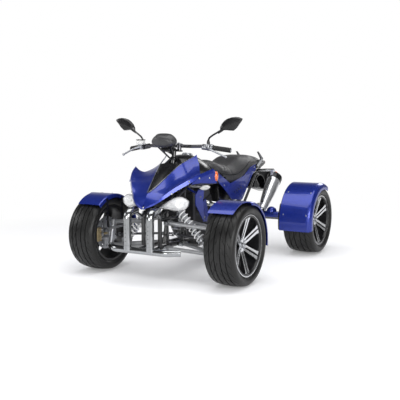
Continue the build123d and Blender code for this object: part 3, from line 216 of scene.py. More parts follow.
def dust_group() -> None:
    """Road dust: thicker near the ground, broken up by noise."""
    graph, given, result = new_group("road_dust", {"Amount": 0.3, "Reach": 0.3}, ("Mask",))
    vector = given.outputs["Vector"]
    height = graph.node("ShaderNodeSeparateXYZ", Vector=vector).outputs[2]
    share = graph.maths("DIVIDE", height, given.outputs["Reach"])
    low = graph.maths("SUBTRACT", 1.0, share, clamp=True)
    noise = graph.node("ShaderNodeTexNoise", Vector=vector, Scale=38.0, Detail=5.0, Roughness=0.65)
    broken = graph.ramp(noise.outputs[0], 0.35, 0.7)
    mask = graph.times(graph.times(low, given.outputs["Amount"]), broken)
    graph.feed(result.inputs["Mask"], mask)


class Surface(Enum):
    """The fine structure that a finish carries."""

    GRAIN = "fine_grain"
    FLAKE = "paint_flake"
    HIDE = "cover_grain"
    BRUSHED = "brushed_lines"


# ------------------------------------------------------------------ finishes
DUST: Colour = (0.26, 0.24, 0.21)


@dataclass(frozen=True)
class Finish:
    """One finish: its colours, its shine and its fine structure."""

    colour: Colour
    drift: Colour
    surface: Surface = Surface.GRAIN
    scale: float = 300.0
    stretch: Colour = (1.0, 1.0, 1.0)
    depth: float = 0.0002
    metallic: float = 0.0
    roughness: float = 0.5
    spread: float = 0.12
    coat: float = 0.0
    coat_roughness: float = 0.05
    transmission: float = 0.0
    alpha: float = 1.0
    ior: float = 1.5
    dust: float = 0.0

    def build(self, name: str) -> bpy.types.Material:
        """Makes the material.

        Args:
            name: the material's name.

        Returns:
            The finished material.
        """
        material = bpy.data.materials.new(name)
        material.use_nodes = True
        material.node_tree.nodes.clear()
        graph = Graph(material.node_tree)
        place = graph.node("ShaderNodeTexCoord").outputs["Object"]
        spread = graph.node("ShaderNodeMapping", Vector=place, Scale=self.stretch).outputs[0]
        settings = {"node_tree": bpy.data.node_groups[self.surface.value]}
        detail = graph.node("ShaderNodeGroup", settings, Vector=spread, Scale=self.scale)
        mask = detail.outputs["Mask"]
        colour = graph.blend(mask, (*self.colour, 1), (*self.drift, 1))
        rise = graph.times(mask, self.spread)
        rough = graph.maths("ADD", self.roughness - self.spread / 2, rise)
        if self.dust:
            colour, rough = self.dusted(graph, place, colour, rough)
        bump = graph.node(
            "ShaderNodeBump", Height=detail.outputs["Height"], Distance=self.depth, Strength=0.6,
        )
        shader = graph.node(
            "ShaderNodeBsdfPrincipled",
            Base_Color=colour,
            Roughness=rough,
            Metallic=self.metallic,
            IOR=self.ior,
            Normal=bump.outputs[0],
            Coat_Weight=self.coat,
            Coat_Roughness=self.coat_roughness,
            Transmission_Weight=self.transmission,
            Alpha=self.alpha,
        )
        self.face(graph, shader, colour, rough)
        graph.node("ShaderNodeOutputMaterial", Surface=shader.outputs[0])
        return material

    def dusted(
        self, graph: Graph, place: object, colour: object, rough: object
    ) -> tuple[Socket, Socket]:
        """Lays road dust over the colour and the roughness and returns both."""
        settings = {"node_tree": bpy.data.node_groups["road_dust"]}
        dust = graph.node("ShaderNodeGroup", settings, Vector=place, Amount=self.dust).outputs["Mask"]
        colour = graph.blend(dust, colour, (*DUST, 1))
        return colour, graph.maths("ADD", rough, graph.times(dust, 0.4), clamp=True)

    def face(self, graph: Graph, shader: Node, colour: object, rough: object) -> None:
        """Leaves a plain finish as it is."""


@dataclass(frozen=True)
class BodyPaint(Finish):
    """Paint on the bodywork whose fenders have a black lining on the side of the frame."""

    lining: Colour = (0.008, 0.008, 0.009)
    front_lining: Flat = (0.3900, 0.4035)
    rear_lining: Flat = (0.3800, 0.3890)

    def face(self, graph: Graph, shader: Node, colour: object, rough: object) -> None:
        """Blackens the inner walls and the stays of the fenders."""
        where = graph.node("ShaderNodeTexCoord").outputs["Object"]
        parts = graph.node("ShaderNodeSeparateXYZ", Vector=where).outputs
        across = graph.maths("ABSOLUTE", parts[0])
        walls = []
        for (near, far), side in ((self.front_lining, -1), (self.rear_lining, 1)):
            starts, ends = graph.ramp(across, near, near + 0.0003), graph.ramp(across, far + 0.0003, far)
            band = graph.times(starts, ends)
            half = graph.ramp(parts[1], side * 0.1, side * 0.11)
            walls.append(graph.times(band, half))
        mask = graph.maths("MAXIMUM", *walls)
        graph.feed(shader.inputs["Base Color"], graph.blend(mask, colour, (*self.lining, 1)))


@dataclass(frozen=True)
class FacedWheel(Finish):
    """A cast wheel in gloss black whose outward faces are machined bright."""

    paint: Colour = (0.010, 0.010, 0.011)
    paint_roughness: float = 0.3
    axle: Flat = (AXLE, (FRONT_HUB + REAR_HUB) / 2)
    slot_half: float = 0.0065
    lip: Flat = (0.172, 0.1865)
    slot_start: Flat = (0.052, 0.054)
    slot_end: Flat = (0.158, 0.156)
    bright_facing: Flat = (0.78, 0.86)

    def spokes(self, graph: Graph, where: Node) -> Socket:
        """Returns 1 on the machined bands: off the painted slot between twin spokes and the lip's foot."""
        parts = graph.node("ShaderNodeSeparateXYZ", Vector=where.outputs["Object"]).outputs
        along = graph.maths("SUBTRACT", graph.maths("ABSOLUTE", parts[1]), self.axle[0])
        rise = graph.maths("SUBTRACT", parts[2], self.axle[1])
        squares = graph.maths("ADD", graph.times(along, along), graph.times(rise, rise))
        reach = graph.maths("SQRT", squares)
        sixth = math.pi / 3
        turn = graph.maths("ADD", graph.maths("ARCTAN2", along, rise), math.tau + sixth / 2)
        fold = graph.maths("SUBTRACT", graph.maths("MODULO", turn, sixth), sixth / 2)
        aside = graph.maths("ABSOLUTE", graph.times(reach, graph.maths("SINE", fold)))
        slot = graph.ramp(aside, self.slot_half + 0.0005, self.slot_half)
        inside = graph.times(graph.ramp(reach, *self.slot_start), graph.ramp(reach, *self.slot_end))
        foot, edge = self.lip
        lip = graph.times(graph.ramp(reach, foot, foot + 0.001), graph.ramp(reach, edge + 0.001, edge))
        painted = graph.maths("MAXIMUM", graph.times(slot, inside), lip)
        return graph.maths("SUBTRACT", 1.0, painted)

    def face(self, graph: Graph, shader: Node, colour: object, rough: object) -> None:
        """Keeps the bright metal on the faces that look outwards and paints the rest."""
        where = graph.node("ShaderNodeTexCoord")
        across = graph.node("ShaderNodeSeparateXYZ", Vector=where.outputs["Object"]).outputs[0]
        facing = graph.node("ShaderNodeSeparateXYZ", Vector=where.outputs["Normal"]).outputs[0]
        outward = graph.times(facing, graph.maths("SIGN", across))
        mask = graph.times(graph.ramp(outward, *self.bright_facing), self.spokes(graph, where))
        graph.feed(shader.inputs["Base Color"], graph.blend(mask, (*self.paint, 1), colour))
        graph.feed(shader.inputs["Roughness"], graph.between(mask, self.paint_roughness, rough))
        graph.feed(shader.inputs["Metallic"], mask)


FINISHES: dict[str, Finish] = {
    "blue_body": BodyPaint(
        (0.006, 0.018, 0.205), (0.014, 0.040, 0.36), Surface.FLAKE, 1400, depth=0.00004,
        metallic=0.5, roughness=0.30, spread=0.08, coat=0.55, coat_roughness=0.03,
    ),
    "black_plastic": Finish(
        (0.008, 0.008, 0.009), (0.014, 0.014, 0.015), roughness=0.2, spread=0.08, ior=1.42
    ),
    "grey_plastic": Finish((0.035, 0.035, 0.037), (0.055, 0.055, 0.058), roughness=0.4, spread=0.1),
    "white_plastic": Finish((0.80, 0.80, 0.78), (0.72, 0.72, 0.70), roughness=0.35),
    "frame_paint": Finish((0.012, 0.012, 0.013), (0.022, 0.022, 0.024), roughness=0.3, coat=0.6, dust=0.25),
    "bright_steel": Finish(
        (0.40, 0.41, 0.42), (0.30, 0.31, 0.32), Surface.BRUSHED, 60, (4, 4, 0.4), metallic=1.0, roughness=0.12
    ),
    "bar_steel": Finish(
        (0.13, 0.13, 0.14), (0.08, 0.08, 0.09), Surface.BRUSHED, 40, (1, 8, 8), metallic=0.9, roughness=0.2
    ),
    "plain_alloy": Finish((0.46, 0.47, 0.49), (0.34, 0.35, 0.37), scale=500, metallic=1.0, roughness=0.36),
    "caliper_alloy": Finish((0.44, 0.35, 0.20), (0.34, 0.27, 0.16), scale=500, metallic=0.7, roughness=0.4),
    "wheel_alloy": FacedWheel(
        (0.74, 0.75, 0.77), (0.62, 0.63, 0.65), Surface.BRUSHED, 60, (20, 1, 1), metallic=1.0, roughness=0.24
    ),
    "damper_alloy": Finish((0.40, 0.41, 0.43), (0.30, 0.31, 0.33), metallic=0.9, roughness=0.3),
    # White paint of the springs; the headlamp bowls wear it too, as a painted reflection.
    "spring_paint": Finish((0.96, 0.96, 0.97), (0.92, 0.92, 0.93), roughness=0.22, coat=0.5),
    "arm_paint": Finish((0.30, 0.305, 0.315), (0.22, 0.225, 0.235), metallic=0.4, roughness=0.36, dust=0.15),
    "radiator_alloy": Finish((0.03, 0.03, 0.033), (0.06, 0.06, 0.06), metallic=0.6, roughness=0.5),
    "axle_steel": Finish((0.16, 0.16, 0.17), (0.10, 0.10, 0.11), metallic=0.9, roughness=0.36, dust=0.25),
    "chain_steel": Finish((0.15, 0.14, 0.13), (0.07, 0.065, 0.06), metallic=0.9, roughness=0.42, dust=0.4),
    "engine_alloy": Finish(
        (0.040, 0.040, 0.044), (0.075, 0.075, 0.08), scale=600, depth=0.0004, metallic=0.4, roughness=0.48,
        dust=0.25,
    ),
    "silencer_alloy": Finish(
        (0.80, 0.81, 0.83), (0.62, 0.63, 0.65), Surface.BRUSHED, 40, (8, 0.8, 0.8), metallic=0.85,
        roughness=0.32
    ),
    "tyre": Finish(
        (0.007, 0.007, 0.007), (0.012, 0.012, 0.0115), scale=700, depth=0.0003, roughness=0.44, ior=1.40,
        dust=0.02,
    ),
    "grip_rubber": Finish((0.012, 0.012, 0.012), (0.020, 0.020, 0.020), scale=700, roughness=0.65),
    "saddle_cover": Finish(
        (0.020, 0.020, 0.022), (0.032, 0.032, 0.034), Surface.HIDE, 420, depth=0.0005, roughness=0.42
    ),
    "clear_lens": Finish(
        (0.97, 0.98, 0.98), (0.95, 0.96, 0.97), depth=0.00002, roughness=0.04, spread=0.02, alpha=0.22
    ),
    "red_lens": Finish(
        (0.45, 0.012, 0.010), (0.35, 0.008, 0.008), depth=0.0001, roughness=0.12, spread=0.04, coat=1.0
    ),
    "amber_lens": Finish(
        (0.82, 0.17, 0.03), (0.70, 0.12, 0.02), depth=0.0001, roughness=0.14, spread=0.04, coat=1.0
    ),
}


PAINTS: dict[str, bpy.types.Material] = {}


def mix_paints() -> None:
    """Builds the shared groups and the material of every slot."""
    for make in (grain_group, flake_group, hide_group, brush_group, dust_group):
        make()
    PAINTS.update({slot: finish.build(slot) for slot, finish in FINISHES.items()})


def dress_frame() -> None:
    """Gives each node of the frame the finish of its slot."""
    for row in frame["record"]["subparts"]:
        node = frame["nodes"][row["node"]]
        node.data.materials.clear()
        node.data.materials.append(PAINTS[row["material_slot"]])


def dress(piece: bpy.types.Object, slot: str) -> None:
    """Gives one new piece a finish and names its slot."""
    piece.data.materials.append(PAINTS[slot])


# ------------------------------------------------------------------ the bench
def stand(at: Point, along: Point = UP, spin: float = 0.0) -> Matrix:
    """Works out the place of a shape whose own Z axis points along a direction.

    Args:
        at: where the shape's own origin goes.
        along: where its own Z axis points.
        spin: a turn about that axis, in degrees.

    Returns:
        The matrix of that place.
    """
    turn = Vector(along).to_track_quat("Z", "Y").to_matrix().to_4x4()
    return Matrix.Translation(at) @ turn @ Matrix.Rotation(math.radians(spin), 4, "Z")


def spun(profile: list[Flat], steps: int = 32, ring: bool = False) -> Shape:
    """Spins a profile about the Z axis.

    Args:
        profile: points of (radius, height).
        steps: the number of columns round the axis.
        ring: whether the profile closes on itself.

    Returns:
        The turned shape, closed round the axis.
    """
    shape = bmesh.new()
    points = [shape.verts.new((radius, 0, height)) for radius, height in profile]
    pairs = list(zip(points, points[1:])) + ([(points[-1], points[0])] if ring else [])
    edges = [shape.edges.new(pair) for pair in pairs]
    bmesh.ops.spin(
        shape, geom=points + edges, cent=(0, 0, 0), axis=(0, 0, 1), dvec=(0, 0, 0), angle=math.tau,
        steps=steps, use_merge=True, use_duplicate=False,
    )
    bmesh.ops.remove_doubles(shape, verts=shape.verts[:], dist=1e-6)
    return shape


def outwards(shape: Shape) -> None:
    """Turns the faces of a shape outwards."""
    bmesh.ops.recalc_face_normals(shape, faces=shape.faces[:])


def band(inner: float, outer: float, low: float, high: float) -> list[Flat]:
    """Returns the profile of a plain ring, or of a disc where the inner radius is 0."""
    return [(inner, low), (outer, low), (outer, high), (inner, high)]


def around(centre: Flat, radius: float, turn: float) -> Flat:
    """Returns the point of a circle at an angle."""
    return centre[0] + radius * math.cos(turn), centre[1] + radius * math.sin(turn)


def only(kind: type, items: list) -> list:
    """Picks the points, edges or faces out of what an operation made."""
    return [item for item in items if isinstance(item, kind)]


def drawn_out(
    shape: Shape, outline: list[Point], steps: list[tuple[Point, Point]], space: Matrix = Matrix(),
) -> None:
    """Draws a flat outline out in steps.

    Args:
        shape: the shape that it goes into.
        outline: the corners of the first face.
        steps: how each step scales the last face and then moves it.
        space: where the scaling has its centre.
    """
    face = shape.faces.new([shape.verts.new(corner) for corner in outline])
    made = bmesh.ops.extrude_face_region(shape, geom=[face])["geom"]
    cap = only(bmesh.types.BMFace, made)[0]
    for index, (scale, move) in enumerate(steps):
        if index:
            cap = bmesh.ops.extrude_discrete_faces(shape, faces=[cap])["faces"][0]
        verts = list(cap.verts)
        bmesh.ops.scale(shape, vec=scale, verts=verts, space=space)
        bmesh.ops.translate(shape, vec=move, verts=verts)


def copy_of(node: str) -> Shape:
    """Returns a merged copy of the surface of one frame node."""
    shape = bmesh.new()
    shape.from_mesh(frame["nodes"][node].data)
    bmesh.ops.remove_doubles(shape, verts=shape.verts[:], dist=1e-5)
    return shape


class Skin:
    """The surface of a frame node, on which pieces are set."""

    def __init__(self, node: str) -> None:
        """Reads the node's surface."""
        mesh = frame["nodes"][node].data
        faces = [tuple(face.vertices) for face in mesh.polygons]
        self.tree = BVHTree.FromPolygons([vert.co.copy() for vert in mesh.vertices], faces)

    def hit(self, start: Point, along: Point) -> tuple[Vector, Vector]:
        """Finds where a straight line meets the surface.

        Args:
            start: where the line starts.
            along: where it goes.

        Returns:
            The place and the surface's direction there, turned towards the start.
        """
        line = Vector(along).normalized()
        place, normal, _, _ = self.tree.ray_cast(Vector(start), line)
        if place is None:
            raise ValueError(f"no surface from {tuple(start)} along {tuple(along)}")
        return place, normal if normal.dot(line) < 0 else -normal

    def under(self, spots: list[Flat], rise: float) -> list[Point]:
        """Drops points onto the surface from above and lifts them off it."""
        hits = [self.hit((x, y, 1.0), DOWN) for x, y in spots]
        return [tuple(place + normal * rise) for place, normal in hits]


class Head(Enum):
    """The kinds of bolt head."""

    HEX = "hex"
    SOCKET = "socket"
    DOME = "dome"


class Form:
    """One piece in the making: shapes are added to it, and it is finished at the end."""

    def __init__(self) -> None:
        """Starts with nothing."""
        self.bm = bmesh.new()

    def add(self, shape: Shape, place: Matrix = Matrix(), sides: Sides = LEFT) -> None:
        """Turns a shape's faces outwards and sets it in its place.

        Args:
            shape: the closed shape, which is used up.
            place: where it goes on the left side.
            sides: the sides that get one.
        """
        bmesh.ops.remove_doubles(shape, verts=shape.verts[:], dist=1e-6)
        outwards(shape)
        self.set_down(shape, place, sides)

    def set_down(self, shape: Shape, place: Matrix, sides: Sides) -> None:
        """Sets a shape in its place on each side, with its faces as they are."""
        mesh = bpy.data.meshes.new("shape")
        shape.to_mesh(mesh)
        shape.free()
        for side in sides:
            matrix = Matrix.Scale(side, 4, (1, 0, 0)) @ place
            moved = mesh.copy()
            moved.transform(matrix)
            if matrix.determinant() < 0:
                moved.flip_normals()
            self.bm.from_mesh(moved)
            bpy.data.meshes.remove(moved)
        bpy.data.meshes.remove(mesh)

    def turn(
        self, profile: list[Flat], place: Matrix = Matrix(), steps: int = 32, sides: Sides = LEFT,
        ring: bool = False,
    ) -> None:
        """Adds a turned shape; see spun for its profile."""
        self.add(spun(profile, steps, ring), place, sides)

    def block(
        self, size: Point, place: Matrix = Matrix(), edge: float = 0.0015, segments: int = 2,
        sides: Sides = LEFT, taper: float = 1.0,
    ) -> None:
        """Adds a block with rounded edges, narrower at its top by the taper."""
        shape = bmesh.new()
        bmesh.ops.create_cube(shape, size=1.0)
        bmesh.ops.scale(shape, vec=size, verts=shape.verts[:])
        top = [vert for vert in shape.verts if vert.co.z > 0]
        bmesh.ops.scale(shape, vec=(taper, taper, 1), verts=top)
        bmesh.ops.bevel(
            shape, geom=shape.edges[:], offset=edge, segments=segments, profile=0.5, affect="EDGES",
            material=-1
        )
        self.add(shape, place, sides)

    def plate(
        self, outline: list[Flat], thickness: float, place: Matrix = Matrix(), edge: float = 0.0,
        sides: Sides = LEFT,
    ) -> None:
        """Adds a flat plate: an outline in its own XY plane, raised along Z."""
        shape = bmesh.new()
        face = shape.faces.new([shape.verts.new((x, y, 0)) for x, y in outline])
        raised = bmesh.ops.extrude_face_region(shape, geom=[face])["geom"]
        lifted = only(bmesh.types.BMVert, raised)
        bmesh.ops.translate(shape, vec=(0, 0, thickness), verts=lifted)
        if edge:
            outwards(shape)
            bmesh.ops.bevel(
                shape, geom=shape.edges[:], offset=edge, segments=2, profile=0.5, affect="EDGES", material=-1
            )
        self.add(shape, place, sides)

    def pipe(
        self, points: list[Point], radius: float, sides: Sides = LEFT, smooth: bool = True,
        round_steps: int = 2, closed: bool = False,
    ) -> None:
        """Adds a round bar, wire or bead.

        Args:
            points: where it runs.
            radius: half its thickness.
            sides: the sides that get one.
            smooth: whether it bends smoothly past the points.
            round_steps: how finely its section is divided.
            closed: whether its end joins its start.
        """
        curve = bpy.data.curves.new("line", "CURVE")
        curve.dimensions = "3D"
        curve.bevel_depth = radius
        curve.bevel_resolution = round_steps
        curve.resolution_u = 5
        curve.use_fill_caps = not closed
        line = curve.splines.new("NURBS" if smooth else "POLY")
        line.points.add(len(points) - 1)
        for knot, place in zip(line.points, points):
            knot.co = (*place, 1)
        if smooth:
            line.order_u = 3
            line.use_endpoint_u = not closed
        line.use_cyclic_u = closed
        holder = bpy.data.objects.new("line", curve)
        mesh = bpy.data.meshes.new_from_object(holder)
        shape = bmesh.new()
        shape.from_mesh(mesh)
        bpy.data.objects.remove(holder)
        bpy.data.curves.remove(curve)
        bpy.data.meshes.remove(mesh)
        self.add(shape, Matrix(), sides)

    def bolt(
        self, at: Point, along: Point, size: float = 0.012, head: Head = Head.HEX, sides: Sides = LEFT
    ) -> None:
        """Adds a bolt head on a surface.

        Args:
            at: the middle of its seat.
            along: the direction away from the surface.
            size: the head's width.
            head: the kind of head.
            sides: the sides that get one.
        """
        place, half = stand(at, along), size / 2
        if head is Head.HEX:
            washer = band(0, 1.3 * half, -0.0005, 0.0012)
            self.turn(washer, place, 16, sides)
            shape = bmesh.new()
            bmesh.ops.create_cone(
                shape, cap_ends=True, segments=6, radius1=1.13 * half, radius2=1.13 * half, depth=0.6 * size
            )
            bmesh.ops.translate(shape, vec=(0, 0, 0.3 * size + 0.001), verts=shape.verts[:])
            rim = [edge for edge in shape.edges if all(vert.co.z > 0.5 * size for vert in edge.verts)]
            bmesh.ops.bevel(
                shape, geom=rim, offset=0.12 * half, segments=1, profile=0.5, affect="EDGES", material=-1
            )
            self.add(shape, place, sides)
        elif head is Head.SOCKET:
            profile = [
                (0, -0.001), (half, -0.001), (half, 0.7 * half), (0.86 * half, 0.84 * half),
                (0.52 * half, 0.84 * half), (0.52 * half, 0.3 * half), (0, 0.3 * half),
            ]
            self.turn(profile, place, 14, sides)
        else:
            profile = [
                (0, -0.001), (half, -0.001), (half, 0.1 * half), (0.86 * half, 0.34 * half),
                (0.5 * half, 0.5 * half), (0.28 * half, 0.52 * half), (0.22 * half, 0.3 * half),
                (0, 0.3 * half),
            ]
            self.turn(profile, place, 14, sides)

    def bolt_on(
        self, skin: Skin, start: Point, along: Point, size: float = 0.012, sides: Sides = BOTH,
    ) -> None:
        """Sets a domed bolt where a straight line meets a surface."""
        place, normal = skin.hit(start, along)
        self.bolt(place, normal, size, Head.DOME, sides)

    def finish(
        self, name: str, slot: str, body: str = "chassis", replaces: tuple[str, ...] = (),
        crease: float = 32.0,
    ) -> bpy.types.Object:
        """Makes the piece.

        Args:
            name: the piece's name.
            slot: the record's slot that gives its finish.
            body: the body that it rides on.
            replaces: the frame's nodes that it stands for.
            crease: the angle in degrees above which an edge stays sharp.

        Returns:
            The finished piece.
        """
        mesh = bpy.data.meshes.new(name)
        self.bm.to_mesh(mesh)
        self.bm.free()
        mesh.shade_smooth()
        mesh.set_sharp_from_angle(angle=math.radians(crease))
        piece = bpy.data.objects.new(name, mesh)
        bpy.context.scene.collection.objects.link(piece)
        dress(piece, slot)
        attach(piece, body)
        if replaces:
            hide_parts(*replaces)
        log.info("%s: %d faces on %s", name, len(mesh.polygons), body)
        return piece


# ------------------------------------------------------------------ wheels
def arc(start: Flat, middle: Flat, end: Flat, count: int) -> list[Flat]:
    """Divides the circular arc through three points.

    Args:
        start: where the arc starts.
        middle: a point on the way.
        end: where it ends.
        count: the number of runs.

    Returns:
        The points after the start, up to the end.
    """
    (ax, ay), (bx, by), (cx, cy) = start, middle, end
    scale = 2 * (ax * (by - cy) + bx * (cy - ay) + cx * (ay - by))
    a, b, c = ax * ax + ay * ay, bx * bx + by * by, cx * cx + cy * cy
    x = (a * (by - cy) + b * (cy - ay) + c * (ay - by)) / scale
    y = (a * (cx - bx) + b * (ax - cx) + c * (bx - ax)) / scale
    radius = math.hypot(ax - x, ay - y)
    first, last = math.atan2(ay - y, ax - x), math.atan2(cy - y, cx - x)
    sweep = (last - first + math.pi) % math.tau - math.pi
    turns = [first + sweep * (step + 1) / count for step in range(count)]
    return [(x + radius * math.cos(turn), y + radius * math.sin(turn)) for turn in turns]


@dataclass
class Tyre:
    """A low road tyre: ribs between cut grooves, slanting slots and a moulded sidewall."""

    name: str
    node: str
    body: str
    sides: Sides
    rim_half: float
    columns: int = 144
    crown_drop: float = 0.009
    shoulder_inset: float = 0.014
    rim_seat: float = 0.1783
    skirt: float = 0.195
    bead_inset: float = 0.0063
    grooves: tuple[float, ...] = (0.23, 0.62)
    groove_width: float = 0.0070
    groove_depth: float = 0.0055
    slot_depth: float = 0.0030
    slot_wall: float = 0.0037
    sweep: float = 0.62
    rear_half: float = 0.116
    wall_steps: int = 12
    wall_ribs: tuple[int, ...] = (3, 9)
    rib_height: float = 0.0008

    def measure(self) -> None:
        """Reads the tyre's place, radius and width from the frame."""
        low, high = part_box(self.node)
        self.centre = Vector(((low[0] + high[0]) / 2, (low[1] + high[1]) / 2, (low[2] + high[2]) / 2))
        self.radius = (high[2] - low[2]) / 2
        self.half = (high[0] - low[0]) / 2
        if len(self.sides) == 2:
            self.half = self.rear_half
            self.centre.x = high[0] - self.half
        self.shoulder = self.half - self.shoulder_inset

    def crown(self, across: float) -> float:
        """Returns the tread's radius at a distance from the middle."""
        return self.radius - self.crown_drop * (across / self.shoulder) ** 2

    def half_profile(self) -> list[Flat]:
        """Returns the outline of one half, from the middle of the tread to the bead."""
        wide, lip = self.groove_width / 2, 0.0012
        points: list[Flat] = [(self.crown(0), 0)]
        for groove in self.grooves:
            middle = groove * self.shoulder
            before = (points[-1][1] + middle - wide) / 2
            points.append((self.crown(before), before))
            floor = self.groove_depth
            for offset, depth in ((-wide, 0), (lip - wide, floor), (wide - lip, floor), (wide, 0)):
                points.append((self.crown(middle + offset) - depth, middle + offset))
        last = (points[-1][1] + self.shoulder) / 2
        points += [(self.crown(last), last), (self.crown(self.shoulder), self.shoulder)]
        bead = self.rim_half - self.bead_inset
        start, end = (self.shoulder, self.radius - self.crown_drop), (bead + 0.005, self.skirt)
        middle = (self.half, (self.radius + 0.191) / 2 + 0.006)
        wall = arc(start, middle, end, self.wall_steps)
        for index in self.wall_ribs:
            x, r = wall[index]
            wall[index] = (x + self.rib_height, r)
        points += [(r, x) for x, r in wall]
        return points + [(self.skirt, bead), (self.rim_seat, bead)]

    def cut_slots(self, shape: Shape) -> None:
        """Sinks slanting slots into the ribs, more of them towards the shoulders."""
        shape.normal_update()
        chosen = []
        inner, outer = (groove * self.shoulder for groove in self.grooves)
        for face in shape.faces:
            middle = face.calc_center_median()
            across = abs(middle.z)
            reach = math.hypot(middle.x, middle.y)
            flat = (face.normal.x * middle.x + face.normal.y * middle.y) / reach > 0.9
            if not flat or reach < self.crown(across) - 0.002 or across > self.shoulder:
                continue
            column = int((math.atan2(middle.y, middle.x) % math.tau) / math.tau * self.columns)
            if across > outer:
                wanted = column % 6 == 2
            elif across > inner:
                wanted = column % 6 == 0
            else:
                wanted = column % 12 == (0 if middle.z > 0 else 6)
            if wanted:
                chosen.append(face)
        bmesh.ops.inset_region(
            shape, faces=chosen, thickness=self.slot_wall, depth=-self.slot_depth, use_boundary=True,
            use_even_offset=True,
        )

    def slant(self, shape: Shape) -> None:
        """Turns each ring of the tread a little further the nearer it is to the shoulder."""
        for vert in shape.verts:
            share = min(abs(vert.co.z) / self.shoulder, 1.0)
            vert.co = Matrix.Rotation(self.sweep * share, 3, "Z") @ vert.co

    def build(self) -> None:
        """Builds the tyre in place of its plain ring."""
        self.measure()
        half = self.half_profile()
        outline = [(r, -x) for r, x in reversed(half[1:])] + half
        shape = spun(outline, self.columns, ring=True)
        outwards(shape)
        self.cut_slots(shape)
        self.slant(shape)
        form = Form()
        turn = Matrix.Rotation(math.radians(90), 4, "Y")
        form.add(shape, Matrix.Translation(self.centre) @ turn, self.sides)
        form.finish(self.name, "tyre", self.body, (self.node,), crease=38)


@dataclass
class WheelFittings:
    """Hub nut, dust cap, wheel bolts and valve of a wheel."""

    name: str
    tyre: str
    body: str
    sides: Sides
    hub_face: float
    bolt_floor: float
    bolt_circle: float = 0.029
    bolt_size: float = 0.0105
    cap_radius: float = 0.0175
    valve_radius: float = 0.160
    valve_turn: float = 0.26
    bolts: int = 4

    def build(self) -> None:
        """Builds the bright fittings and the dark valve."""
        low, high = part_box(self.tyre)
        y, z = (low[1] + high[1]) / 2, (low[2] + high[2]) / 2
        form, out = Form(), OUT
        cap = [
            (0, -0.002), (self.cap_radius, -0.002), (self.cap_radius, 0.003), (0.0155, 0.0045),
            (0.0150, 0.011), (0.0120, 0.0155), (0.006, 0.0175), (0, 0.018),
        ]
        form.turn(cap, stand((self.hub_face, y, z), out), 32, self.sides)
        ring = band(0.0385, 0.0415, -0.001, 0.0010)
        form.turn(ring, stand((self.hub_face, y, z), out), 48, self.sides, ring=True)
        for index in range(self.bolts):
            turn = math.radians(45 + 360 / self.bolts * index)
            at = (self.bolt_floor + 0.0005, *around((y, z), self.bolt_circle, turn))
            form.bolt(at, out, self.bolt_size * 0.8, Head.HEX, self.sides)
            sleeve = band(0.0056, 0.0078, 0, 0.0105)
            form.turn(sleeve, stand(at, out), 16, self.sides, ring=True)
        form.finish(f"{self.name}_bolts", "damper_alloy", self.body)
        valve = Form()
        stem = [(0, -0.004), (0.004, -0.004), (0.0035, 0.012), (0.0026, 0.014), (0.0026, 0.028), (0, 0.029)]
        foot = self.hub_face + 0.004
        across = y + self.valve_radius * math.sin(self.valve_turn)
        height = z + self.valve_radius * math.cos(self.valve_turn) + 0.010
        place = stand((foot, across, height), (0.8, -0.15, -0.55))
        valve.turn(stem, place, 12, self.sides)
        valve.finish(f"{self.name}_valve", "grip_rubber", self.body)


# ------------------------------------------------------------------ lamps
def walled(shape: Shape, thickness: float) -> None:
    """Gives an open shell a second skin inside and closes its edge.

    Args:
        shape: the shell, which is changed.
        thickness: how far in the second skin lies.
    """
    shape.normal_update()
    edge = [item for item in shape.edges if item.is_boundary]
    inwards = {vert: -vert.normal * thickness for vert in shape.verts}
    geometry = shape.verts[:] + shape.edges[:] + shape.faces[:]
    made = bmesh.ops.duplicate(shape, geom=geometry)
    inner = {vert: made["vert_map"][vert] for vert in inwards}
    bmesh.ops.reverse_faces(shape, faces=only(bmesh.types.BMFace, made["geom"]))
    for vert, move in inwards.items():
        inner[vert].co += move
    for item in edge:
        first, second = item.verts
        shape.faces.new((first, second, inner[second], inner[first]))
    outwards(shape)


